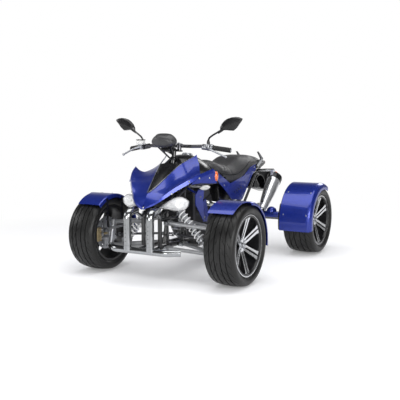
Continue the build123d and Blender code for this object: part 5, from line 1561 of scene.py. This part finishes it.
# ------------------------------------------------------------------ engine, exhaust and tail
@dataclass
class Powertrain:
    """Cover bolts, caps, radiator louvres, exhaust trim and the roller chain."""

    case_centre: Flat = (-0.090, 0.290)
    cover_x: float = 0.138
    silencer_front: Point = (0.235, 0.385, 0.350)
    silencer_rear: Point = (0.235, 0.635, 0.584)
    front_sprocket: Flat = (0.092, 0.262)
    rear_sprocket: Flat = (AXLE, REAR_HUB)
    chain_x: float = -0.084
    chain_pitch: float = 0.015875
    teeth: tuple[int, int] = (13, 40)
    louvres: int = 22
    louvre_pitch: float = 0.0086
    cover_bolts: int = 9

    def build(self) -> None:
        """Builds the trim of the engine, the radiator, the exhaust and the chain."""
        self.engine()
        self.radiator()
        self.silencer()
        self.chain()
        self.dark_boxes()

    def engine(self) -> None:
        """Bolts the side covers and the head and adds the caps."""
        form, (y, z) = Form(), self.case_centre
        x = self.cover_x
        for radius, sides in ((0.082, LEFT), (0.074, RIGHT)):
            for index in range(self.cover_bolts):
                turn = math.tau * (index + 0.3) / self.cover_bolts
                form.bolt((x, *around((y, z), radius, turn)), OUT, 0.009, Head.SOCKET, sides)
        line = Vector((0, -0.34, 0.94)).normalized()
        base = Vector((0, -0.150, 0.378)) + line * 0.178
        back = line.cross(Vector((1, 0, 0)))
        for along in (0.048, -0.048):
            form.bolt(base + Vector((0.048, 0, 0)) + back * along, line, 0.013, Head.HEX, BOTH)
        form.finish("engine_bolts", "plain_alloy")
        covers = Form()
        dome = [
            (0, -0.001), (0.064, -0.001), (0.064, 0.002), (0.058, 0.007), (0.030, 0.010), (0.028, 0.013),
            (0, 0.0135),
        ]
        covers.turn(dome, stand((x, y, z), OUT), 48)
        covers.turn([(r * 0.9, h) for r, h in dome], stand((x, y, z), OUT), 48, RIGHT)
        cap = [
            (0, 0), (0.017, 0), (0.017, 0.006), (0.0155, 0.008), (0.006, 0.008), (0.005, 0.011),
            (0, 0.011),
        ]
        covers.turn(cap, stand((0.112, y + 0.105, z + 0.066), (0.3, 0.2, 1)), 10)
        covers.block((0.092, 0.100, 0.012), stand(base, line), 0.004, 3)
        for along in (-0.026, 0, 0.026):
            covers.block((0.070, 0.006, 0.008), stand(base + back * along + line * 0.008, line), 0.002, 2)
        covers.finish("engine_covers", "engine_alloy")

    def dark_boxes(self) -> None:
        """Fills the frame with the intake box and backs the lamps with their carrier."""
        form = Form()
        form.block((0.146, 0.250, 0.150), stand((0, 0.095, 0.490)), 0.014, 3)
        form.block((0.120, 0.200, 0.008), stand((0, 0.095, 0.568)), 0.003, 2)
        form.block((0.210, 0.018, 0.090), stand((0, -0.716, 0.500)), 0.006, 2)
        for x in (-0.05, 0, 0.05):
            form.block((0.006, 0.252, 0.120), stand((x, 0.095, 0.490)), 0.002, 1)
        form.finish("intake_box", "black_plastic")

    def radiator(self) -> None:
        """Louvres the radiator and gives it a filler cap."""
        (_, high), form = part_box("radiator"), Form()
        for index in range(self.louvres):
            form.block(
                (0.176, 0.004, 0.0016),
                stand((0, -0.4500, 0.338 + self.louvre_pitch * index), (0, 0.5, 1)), 0.0004, 1,
            )
        form.plate(band(-0.0985, 0.0985, 0.327, 0.533), 0.0008, stand((0, -0.4492, 0), (0, -1, 0)))
        cap = [(0, 0), (0.016, 0), (0.019, 0.002), (0.019, 0.006), (0.013, 0.008), (0.011, 0.012), (0, 0.012)]
        form.turn(cap, stand((0.040, -0.432, high[2] - 0.027)), 8)
        form.finish("radiator_louvres", "radiator_alloy")

    def silencer(self) -> None:
        """Gives the can its black end cap, guard bars, hanger, pipe clamp and outlet."""
        front, rear, form = Vector(self.silencer_front), Vector(self.silencer_rear), Form()
        line = (rear - front).normalized()
        length = (rear - front).length
        place = stand(front, line)
        cap = [
            (0.0555, length - 0.048), (0.0590, length - 0.046), (0.0605, length - 0.012),
            (0.0560, length + 0.002), (0.0270, length + 0.003), (0.0255, length - 0.020),
            (0.0235, length - 0.020), (0.0235, length - 0.004), (0.0515, length - 0.004),
            (0.0555, length - 0.014),
        ]
        form.turn(cap, place, 48, ring=True)
        down = Vector((0, line.z, -line.y))
        inner = [
            front - down * 0.052 + line * 0.030, front - down * 0.066 + line * 0.090,
            rear - down * 0.070 - line * 0.130, rear - down * 0.062 - line * 0.060,
        ]
        outer = [
            front + down * 0.030 - line * 0.045, front + down * 0.052 + line * 0.020,
            rear + down * 0.068 - line * 0.070, rear + down * 0.062 - line * 0.030,
        ]
        for points, radius in ((inner, 0.0085), (outer, 0.0058)):
            form.pipe([tuple(point) for point in points], radius)
        form.pipe([(0.100, 0.586, 0.634), (0.170, 0.588, 0.640), (0.235, 0.610, 0.640)], 0.0095, smooth=False)
        form.finish("silencer_guard", "black_plastic")
        clamp = Form()
        clamp.turn(band(0.0205, 0.0255, -0.052, -0.032), place, 36, ring=True)
        clamp.block((0.012, 0.018, 0.012), place @ Matrix.Translation((0.029, 0, -0.042)), 0.002, 2)
        outlet = band(0.0175, 0.0205, length - 0.030, length + 0.006)
        clamp.turn(outlet, place, 36, ring=True)
        clamp.finish("silencer_clamp", "bright_steel")

    def chain(self) -> None:
        """Lays side plates and rollers round both sprockets in place of the plain band."""
        small, large = (self.chain_pitch / 2 / math.sin(math.pi / count) for count in self.teeth)
        front, rear = self.front_sprocket, self.rear_sprocket
        back, rise = rear[0] - front[0], rear[1] - front[1]
        gap, lean = math.hypot(back, rise), math.atan2(rise, back)
        spread = math.acos((small - large) / gap)
        high, low = lean + spread, lean - spread
        path: list[Point] = []

        def along_arc(centre: Flat, radius: float, start: float, sweep: float) -> None:
            """Adds the points of a run round one sprocket, each with its direction."""
            steps = max(round(abs(sweep) * radius / self.chain_pitch), 1)
            turns = [start + sweep * step / steps for step in range(steps)]
            path.extend((*around(centre, radius, turn), turn + math.pi / 2) for turn in turns)

        def along_run(start: Flat, end: Flat) -> None:
            """Adds the points of a straight run, each with its direction."""
            (y, z), (far_y, far_z) = start, end
            steps = round(math.hypot(far_y - y, far_z - z) / self.chain_pitch)
            turn = math.atan2(far_z - z, far_y - y)
            shares = [step / steps for step in range(steps)]
            path.extend((y + (far_y - y) * share, z + (far_z - z) * share, turn) for share in shares)

        along_arc(front, small, high, math.tau - 2 * spread)
        along_run(around(front, small, low), around(rear, large, low))
        along_arc(rear, large, low, 2 * spread)
        along_run(around(rear, large, high), around(front, small, high))
        form = Form()
        outline = [
            (-0.0095, 0), (-0.0078, 0.0036), (-0.003, 0.0030), (0.003, 0.0030), (0.0078, 0.0036), (0.0095, 0),
            (0.0078, -0.0036), (0.003, -0.0030), (-0.003, -0.0030), (-0.0078, -0.0036),
        ]
        for index, (y, z, turn) in enumerate(path):
            wide = 0.0068 if index % 2 else 0.0050
            cos, sin = math.cos(turn), math.sin(turn)
            basis = Matrix((UP, (cos, -sin, 0), (sin, cos, 0))).to_4x4()
            place = Matrix.Translation((self.chain_x, y, z)) @ basis
            middle = Matrix.Translation((self.chain_pitch / 2, 0, 0))
            for side in (-1, 1):
                form.plate(outline, 0.0014, place @ middle @ Matrix.Translation((0, 0, side * wide - 0.0007)))
            form.turn(
                [
                    (0, -0.0078), (0.0026, -0.0078), (0.0042, -0.0040), (0.0042, 0.0040),
                    (0.0026, 0.0078), (0, 0.0078),
                ],
                place, 8,
            )
        form.finish("roller_chain", "chain_steel", replaces=("chain",))


@dataclass
class Tail:
    """Beam covers, lamp ribs, lenses, axle and swingarm bolts, rear spring, peg teeth, pedals and fins."""

    beam: tuple[Point, Point] = ((0.173, 0.4935, 0.300), (0.337, 0.4935, 0.300))
    rear_hub: Flat = (AXLE, REAR_HUB)
    shock_top: Point = (0.0, 0.268, 0.560)
    shock_foot: Point = (0.0, 0.432, 0.334)
    coil_radius: float = 0.0375
    coil_steps: int = 96
    coil_wire: float = 0.0052
    front_signal: Point = (0.308, -0.512, 0.662)
    lamp_bars: int = 7
    hub_bolts: int = 6
    peg_rows: int = 7
    peg_columns: int = 3

    def build(self) -> None:
        """Builds the trim behind the saddle and round the rear axle."""
        self.beam_covers()
        self.lamp_ribs()
        self.axle_fittings()
        self.rear_spring()
        self.pegs()
        self.fins()

    def fins(self) -> None:
        """Sheathes the two fins of the tail in bright plates."""
        form = Form()
        outline = [
            (0.597, 0.784), (0.606, 0.784), (0.700, 0.726), (0.700, 0.718), (0.612, 0.660),
            (0.574, 0.673), (0.661, 0.724),
        ]
        for x in (0.0888, 0.0990):
            form.plate(outline, 0.0016, stand((x, 0, 0), (1, 0, 0)), 0.0006, BOTH)
        form.finish("tail_fins", "damper_alloy")

    def beam_covers(self) -> None:
        """Wraps each beam in a painted sleeve with a low dome on it."""
        form, (start, end) = Form(), self.beam
        middle = tuple((a + b) / 2 for a, b in zip(start, end))
        form.block((end[0] - start[0], 0.052, 0.044), stand(middle), 0.007, 3, BOTH)
        dome = [
            (0, 0), (0.040, 0), (0.040, 0.010), (0.034, 0.026), (0.020, 0.038), (0.008, 0.041),
            (0, 0.041),
        ]
        form.turn(dome, stand((0.268, 0.4935, 0.318)), 36, BOTH)
        form.finish("beam_covers", "blue_body")

    def lamp_ribs(self) -> None:
        """Ribs the tail lamp and gives the signals rounded lenses on black stems."""
        form = Form()
        low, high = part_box("tail_lamp")
        for index in range(self.lamp_bars):
            x = low[0] + (high[0] - low[0]) * (index + 1) / (self.lamp_bars + 1)
            form.block(
                (0.0016, 0.0016, 0.020), stand((x, high[1] + 0.0002, (low[2] + high[2]) / 2)), 0.0005, 1,
            )
        form.finish("tail_lamp_ribs", "red_lens")
        signals, (_, high) = Form(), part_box("turn_signals")
        front, rear = self.front_signal, (0.104, high[1] - 0.012, 0.590)
        ball = [(math.cos(math.radians(turn)), math.sin(math.radians(turn))) for turn in range(-90, 91, 15)]
        for at, size in ((front, (0.0142, 0.0172, 0.0333)), (rear, (0.024, 0.012, 0.015))):
            signals.turn(ball, Matrix.Translation(at) @ Matrix.Diagonal((*size, 1)), 28, BOTH)
        signals.finish("signal_lenses", "amber_lens", replaces=("turn_signals",))
        stems = Form()
        stems.pipe([(0.300, -0.495, 0.662), (0.304, -0.505, 0.662), front], 0.008, BOTH, smooth=False)
        stems.pipe(
            [(0.080, high[1] - 0.010, 0.590), (0.092, high[1] - 0.011, 0.590), rear], 0.006, BOTH,
            smooth=False,
        )
        stems.finish("signal_stems", "black_plastic")

    def axle_fittings(self) -> None:
        """Bolts the sprocket and the disc to the axle and the carrier to the swingarm."""
        (y, z), form = self.rear_hub, Form()
        for sides in (RIGHT, LEFT):
            for index in range(self.hub_bolts):
                turn = math.tau * index / self.hub_bolts + 0.26
                form.bolt((0.0905, *around((y, z), 0.032, turn)), OUT, 0.010, Head.HEX, sides)
        form.finish("axle_bolts", "plain_alloy", "rear_wheels")
        arm = Form()
        for reach in (-0.028, 0.028):
            arm.bolt((0.0662, 0.585, z + reach), OUT, 0.014, Head.HEX, BOTH)
        arm.bolt((0.0962, 0.215, 0.262), OUT, 0.026, Head.HEX, BOTH)
        arm.finish("swingarm_bolts", "plain_alloy")

    def rear_spring(self) -> None:
        """Winds the rear spring round its damper."""
        top, foot, form = Vector(self.shock_top), Vector(self.shock_foot), Form()
        place, run = stand(top, foot - top), (foot - top).length
        points, radius, steps = [], self.coil_radius, self.coil_steps
        for step in range(steps + 1):
            turn, share = math.tau * step / 16, step / steps
            spot = (*around((0, 0), radius, turn), run * (0.22 + 0.60 * share))
            points.append(tuple(place @ Vector(spot)))
        form.pipe(points, self.coil_wire)
        form.finish("rear_spring", "spring_paint")

    def pegs(self) -> None:
        """Sets teeth on the pegs and adds the brake pedal and the gear lever."""
        form = Form()
        for row in range(self.peg_rows):
            for column in range(self.peg_columns):
                at = (0.182 + 0.0165 * row, -0.058 + 0.018 * column, 0.2485)
                form.block((0.009, 0.009, 0.006), stand(at), 0.001, 1, BOTH, taper=0.45)
        form.finish("peg_teeth", "plain_alloy")
        levers = Form()
        levers.pipe(
            [
                (0.150, -0.036, 0.222), (0.163, -0.100, 0.226), (0.168, -0.170, 0.236),
                (0.172, -0.190, 0.240),
            ],
            0.006, BOTH,
        )
        levers.turn(
            [(0, -0.006), (0.008, -0.006), (0.009, 0), (0.009, 0.038), (0.007, 0.042), (0, 0.043)],
            stand((0.170, -0.188, 0.240), (1, 0, 0)), 18, LEFT,
        )
        levers.block((0.050, 0.034, 0.009), stand((0.192, -0.190, 0.241)), 0.003, 2, RIGHT)
        levers.turn(band(0, 0.011, -0.016, 0.012), stand((0.150, -0.036, 0.222), (1, 0, 0)), 24, BOTH)
        levers.finish("foot_levers", "plain_alloy")


# ------------------------------------------------------------------ saddle
@dataclass
class Saddle:
    """The padded saddle: foam swelled under its cover, piped along its edge and sewn across."""

    voxel: float = 0.0062
    start_inset: float = 0.0035
    pressure: float = 4.0
    frames: int = 20
    cap: float = 0.0065
    smoothing: int = 3
    piping_radius: float = 0.0026
    piping_start: float = -0.185
    piping_run: float = 0.850
    piping_steps: int = 33
    front: float = -0.222
    length: float = 0.922
    edge_height: float = 0.715
    dip: float = 0.085
    dip_end: float = 0.645
    seams: tuple[Flat, ...] = ((0.030, 0.28), (0.430, -0.22))
    seam_reach: float = 0.009
    seam_depth: float = 0.0030

    def build(self) -> None:
        """Builds the pad, sinks its seams and pipes its edge."""
        pad = self.pad()
        self.swell(pad)
        shape = bmesh.new()
        shape.from_mesh(pad.data)
        for _ in range(self.smoothing):
            bmesh.ops.smooth_vert(
                shape, verts=shape.verts[:], factor=0.5, use_axis_x=True, use_axis_y=True, use_axis_z=True
            )
        bpy.data.objects.remove(pad)
        self.sink_seams(shape)
        tree = BVHTree.FromBMesh(shape)
        form = Form()
        form.add(shape)
        piece = form.finish("saddle_pad", "saddle_cover", replaces=("saddle",), crease=180)
        finer = piece.modifiers.new("finer", "SUBSURF")
        finer.levels = finer.render_levels = 1
        self.piping(tree)

    def pad(self) -> bpy.types.Object:
        """Returns the remeshed pad, a little smaller than its space."""
        shape = copy_of("saddle")
        outwards(shape)
        shape.normal_update()
        for vert in shape.verts:
            vert.co -= vert.normal * self.start_inset
        mesh = bpy.data.meshes.new("pad")
        shape.to_mesh(mesh)
        shape.free()
        pad = bpy.data.objects.new("pad", mesh)
        bpy.context.scene.collection.objects.link(pad)
        remesh = pad.modifiers.new("remesh", "REMESH")
        remesh.mode, remesh.voxel_size = "VOXEL", self.voxel
        done = bpy.data.meshes.new_from_object(pad.evaluated_get(bpy.context.evaluated_depsgraph_get()))
        pad.modifiers.clear()
        pad.data = done
        return pad

    def swell(self, pad: bpy.types.Object) -> None:
        """Blows the cover up against its own stretch and keeps each point within the cap."""
        cloth = pad.modifiers.new("swell", "CLOTH")
        settings = cloth.settings
        settings.use_pressure, settings.uniform_pressure_force = True, self.pressure
        settings.effector_weights.gravity = 0.0
        cloth.point_cache.frame_start, cloth.point_cache.frame_end = 1, self.frames
        for step in range(1, self.frames + 1):
            bpy.context.scene.frame_set(step)
        swollen = pad.evaluated_get(bpy.context.evaluated_depsgraph_get()).data
        for vert, moved in zip(pad.data.vertices, swollen.vertices):
            way = moved.co - vert.co
            if way.length > self.cap:
                way *= self.cap / way.length
            vert.co += way
        pad.modifiers.clear()
        bpy.context.scene.frame_set(1)

    def sink_seams(self, shape: Shape) -> None:
        """Sinks the cover along the sewn lines across the pad."""
        shape.normal_update()
        for vert in shape.verts:
            x, y, _ = vert.co
            if vert.normal.z < 0.1 and abs(vert.normal.x) < 0.5:
                continue
            for line, slope in self.seams:
                near = 1 - min(abs(y - (line + slope * abs(x))) / self.seam_reach, 1.0)
                vert.co -= vert.normal * self.seam_depth * near * near

    def piping(self, tree: BVHTree) -> None:
        """Runs piping round the top panel's edge, set on the swelled cover."""
        form, points = Form(), []
        for step in range(self.piping_steps + 1):
            y = self.piping_start + self.piping_run * step / self.piping_steps
            share = (y - self.front) / self.length
            if share < self.dip_end:
                height = self.edge_height - self.dip * math.sin(math.pi * min(share * 1.55, 1.0))
            else:
                height = self.edge_height - 0.004 * share
            hit = tree.ray_cast(Vector((0.35, y, height)), Vector((-1, 0, 0)))
            if hit[0] is not None:
                points.append(tuple(hit[0] + hit[1] * 0.0008))
        form.pipe(points, self.piping_radius, BOTH)
        form.finish("saddle_piping", "black_plastic")


# ------------------------------------------------------------------ the whole
ASSEMBLIES = (
    Tyre("front_tyre_left_tread", "front_tyre_left", "front_wheel_left", LEFT, 0.091),
    Tyre("front_tyre_right_tread", "front_tyre_right", "front_wheel_right", LEFT, 0.091),
    Tyre("rear_tyre_treads", "rear_tyres", "rear_wheels", BOTH, 0.104),
    WheelFittings("front_wheel_left", "front_tyre_left", "front_wheel_left", LEFT, 0.5615, 0.5515),
    WheelFittings("front_wheel_right", "front_tyre_right", "front_wheel_right", RIGHT, 0.5615, 0.5515),
    WheelFittings("rear_wheels", "rear_tyres", "rear_wheels", BOTH, 0.5725, 0.5625),
    Headlamps(),
    Bodywork(),
    Cockpit(),
    FrontEnd(),
    Powertrain(),
    Tail(),
    Saddle(),
)


# ------------------------------------------------------------------ studio
@dataclass
class Studio:
    """Floor, lamps, world and camera."""

    camera_place: Point = (2.2693, -4.2026, 0.9676)
    camera_yaw: float = 29.405
    camera_pitch: float = 6.268
    camera_lens: float = 58.58
    shadow_reach: float = 1.4
    white_reach: float = 3.2
    bright_side: Point = (0.50, -0.86, 0.10)
    ceiling: float = 0.32
    side_screens: float = 0.14
    floor_grey: Colour = (0.80, 0.80, 0.80)
    floor_lit: Colour = (0.76, 0.76, 0.77)
    floor_glow: float = 0.18
    fill: float = 0.52
    fill_tint: Colour = (0.96, 0.97, 1.0)

    def build(self) -> None:
        """Puts up the whole studio."""
        self.floor()
        self.world()
        self.lamps()
        self.camera()

    def camera(self) -> None:
        """Stands the camera in front, to the vehicle's left."""
        data = bpy.data.cameras.new("camera")
        data.lens, data.sensor_width = self.camera_lens, 36.0
        camera = bpy.data.objects.new("camera", data)
        camera.location = self.camera_place
        camera.rotation_euler = (math.radians(90 - self.camera_pitch), 0, math.radians(self.camera_yaw))
        bpy.context.scene.collection.objects.link(camera)
        bpy.context.scene.camera = camera

    def floor(self) -> None:
        """Lays a pale floor that reads white to the camera and keeps the shadow."""
        bm = bmesh.new()
        bmesh.ops.create_grid(bm, x_segments=1, y_segments=1, size=80)
        mesh = bpy.data.meshes.new("floor")
        bm.to_mesh(mesh)
        bm.free()
        floor = bpy.data.objects.new("floor", mesh)
        bpy.context.scene.collection.objects.link(floor)
        material = bpy.data.materials.new("floor")
        material.use_nodes = True
        material.node_tree.nodes.clear()
        graph = Graph(material.node_tree)
        place = graph.node("ShaderNodeTexCoord").outputs["Object"]
        away = graph.node("ShaderNodeVectorMath", {"operation": "LENGTH"}, i0=place).outputs["Value"]
        far = graph.ramp(away, self.shadow_reach, self.white_reach)
        plain = graph.node("ShaderNodeBsdfDiffuse", Color=(*self.floor_grey, 1))
        lit = graph.node("ShaderNodeBsdfDiffuse", Color=(*self.floor_lit, 1))
        glow = graph.node("ShaderNodeEmission", Color=WHITE, Strength=self.floor_glow)
        near = graph.node("ShaderNodeAddShader", i0=lit.outputs[0], i1=glow.outputs[0])
        white = graph.node("ShaderNodeEmission", Color=WHITE, Strength=1.0)
        shown = graph.node("ShaderNodeMixShader", i0=far, i1=near.outputs[0], i2=white.outputs[0])
        mixed = graph.node(
            "ShaderNodeMixShader", i0=self.seen(graph), i1=plain.outputs[0], i2=shown.outputs[0],
        )
        graph.node("ShaderNodeOutputMaterial", Surface=mixed.outputs[0])
        mesh.materials.append(material)

    @staticmethod
    def seen(graph: Graph) -> Socket:
        """Returns 1 where the camera, a reflection or a clear piece looks at the surface."""
        path = graph.node("ShaderNodeLightPath").outputs
        first = graph.maths("MAXIMUM", path["Is Camera Ray"], path["Is Glossy Ray"])
        return graph.maths("MAXIMUM", first, path["Is Transmission Ray"])

    def world(self) -> None:
        """Sets a white backdrop under a greyer ceiling, with a plain soft fill."""
        world = bpy.data.worlds.new("studio")
        bpy.context.scene.world = world
        world.use_nodes = True
        world.node_tree.nodes.clear()
        graph = Graph(world.node_tree)
        way = graph.node("ShaderNodeTexCoord").outputs["Generated"]
        height = graph.node("ShaderNodeSeparateXYZ", Vector=way).outputs[2]
        ceiling = graph.ramp(height, 0.25, 0.75, 1.0, self.ceiling)
        settings = {"operation": "DOT_PRODUCT"}
        towards = graph.node("ShaderNodeVectorMath", settings, i0=way, i1=self.bright_side).outputs["Value"]
        front = graph.ramp(towards, 0.45, 0.92, self.side_screens, 1.0)
        back = graph.ramp(towards, -0.75, -0.98, self.side_screens, 0.5)
        mirrored = graph.times(graph.maths("MAXIMUM", front, back), ceiling)
        path = graph.node("ShaderNodeLightPath").outputs
        strength = graph.between(path["Is Glossy Ray"], ceiling, mirrored)
        fill = graph.node("ShaderNodeBackground", Color=(*self.fill_tint, 1), Strength=self.fill)
        white = graph.node("ShaderNodeBackground", Color=WHITE, Strength=strength)
        mixed = graph.node(
            "ShaderNodeMixShader", i0=self.seen(graph), i1=fill.outputs[0], i2=white.outputs[0],
        )
        graph.node("ShaderNodeOutputWorld", Surface=mixed.outputs[0])

    def lamps(self) -> None:
        """Hangs one large soft box overhead and four round the vehicle."""
        for name, place, size, power in (
            ("lamp_top", (0.3, -0.6, 3.6), 4.2, 100.0),
            ("lamp_left", (3.0, -2.4, 1.5), 1.8, 62.0),
            ("lamp_front", (0.5, -3.8, 0.8), 1.3, 20.0),
            ("lamp_right", (-3.4, -2.2, 2.0), 1.6, 30.0),
            ("lamp_rear", (0.5, 3.8, 2.2), 1.6, 26.0),
        ):
            data = bpy.data.lights.new(name, "AREA")
            data.shape, data.size, data.size_y, data.energy = "RECTANGLE", size, size * 0.7, power
            lamp = bpy.data.objects.new(name, data)
            lamp.location = place
            aim = Vector((0, 0, 0.4)) - Vector(place)
            lamp.rotation_euler = aim.to_track_quat("-Z", "Y").to_euler()
            bpy.context.scene.collection.objects.link(lamp)


def main() -> None:
    """Builds the studio, the finishes and the sub-assemblies in order."""
    logging.basicConfig(level=logging.INFO, format="%(message)s")
    bpy.context.scene.view_settings.view_transform = "Standard"
    Studio().build()
    mix_paints()
    dress_frame()
    for assembly in ASSEMBLIES:
        assembly.build()


if __name__ == "__main__":
    main()
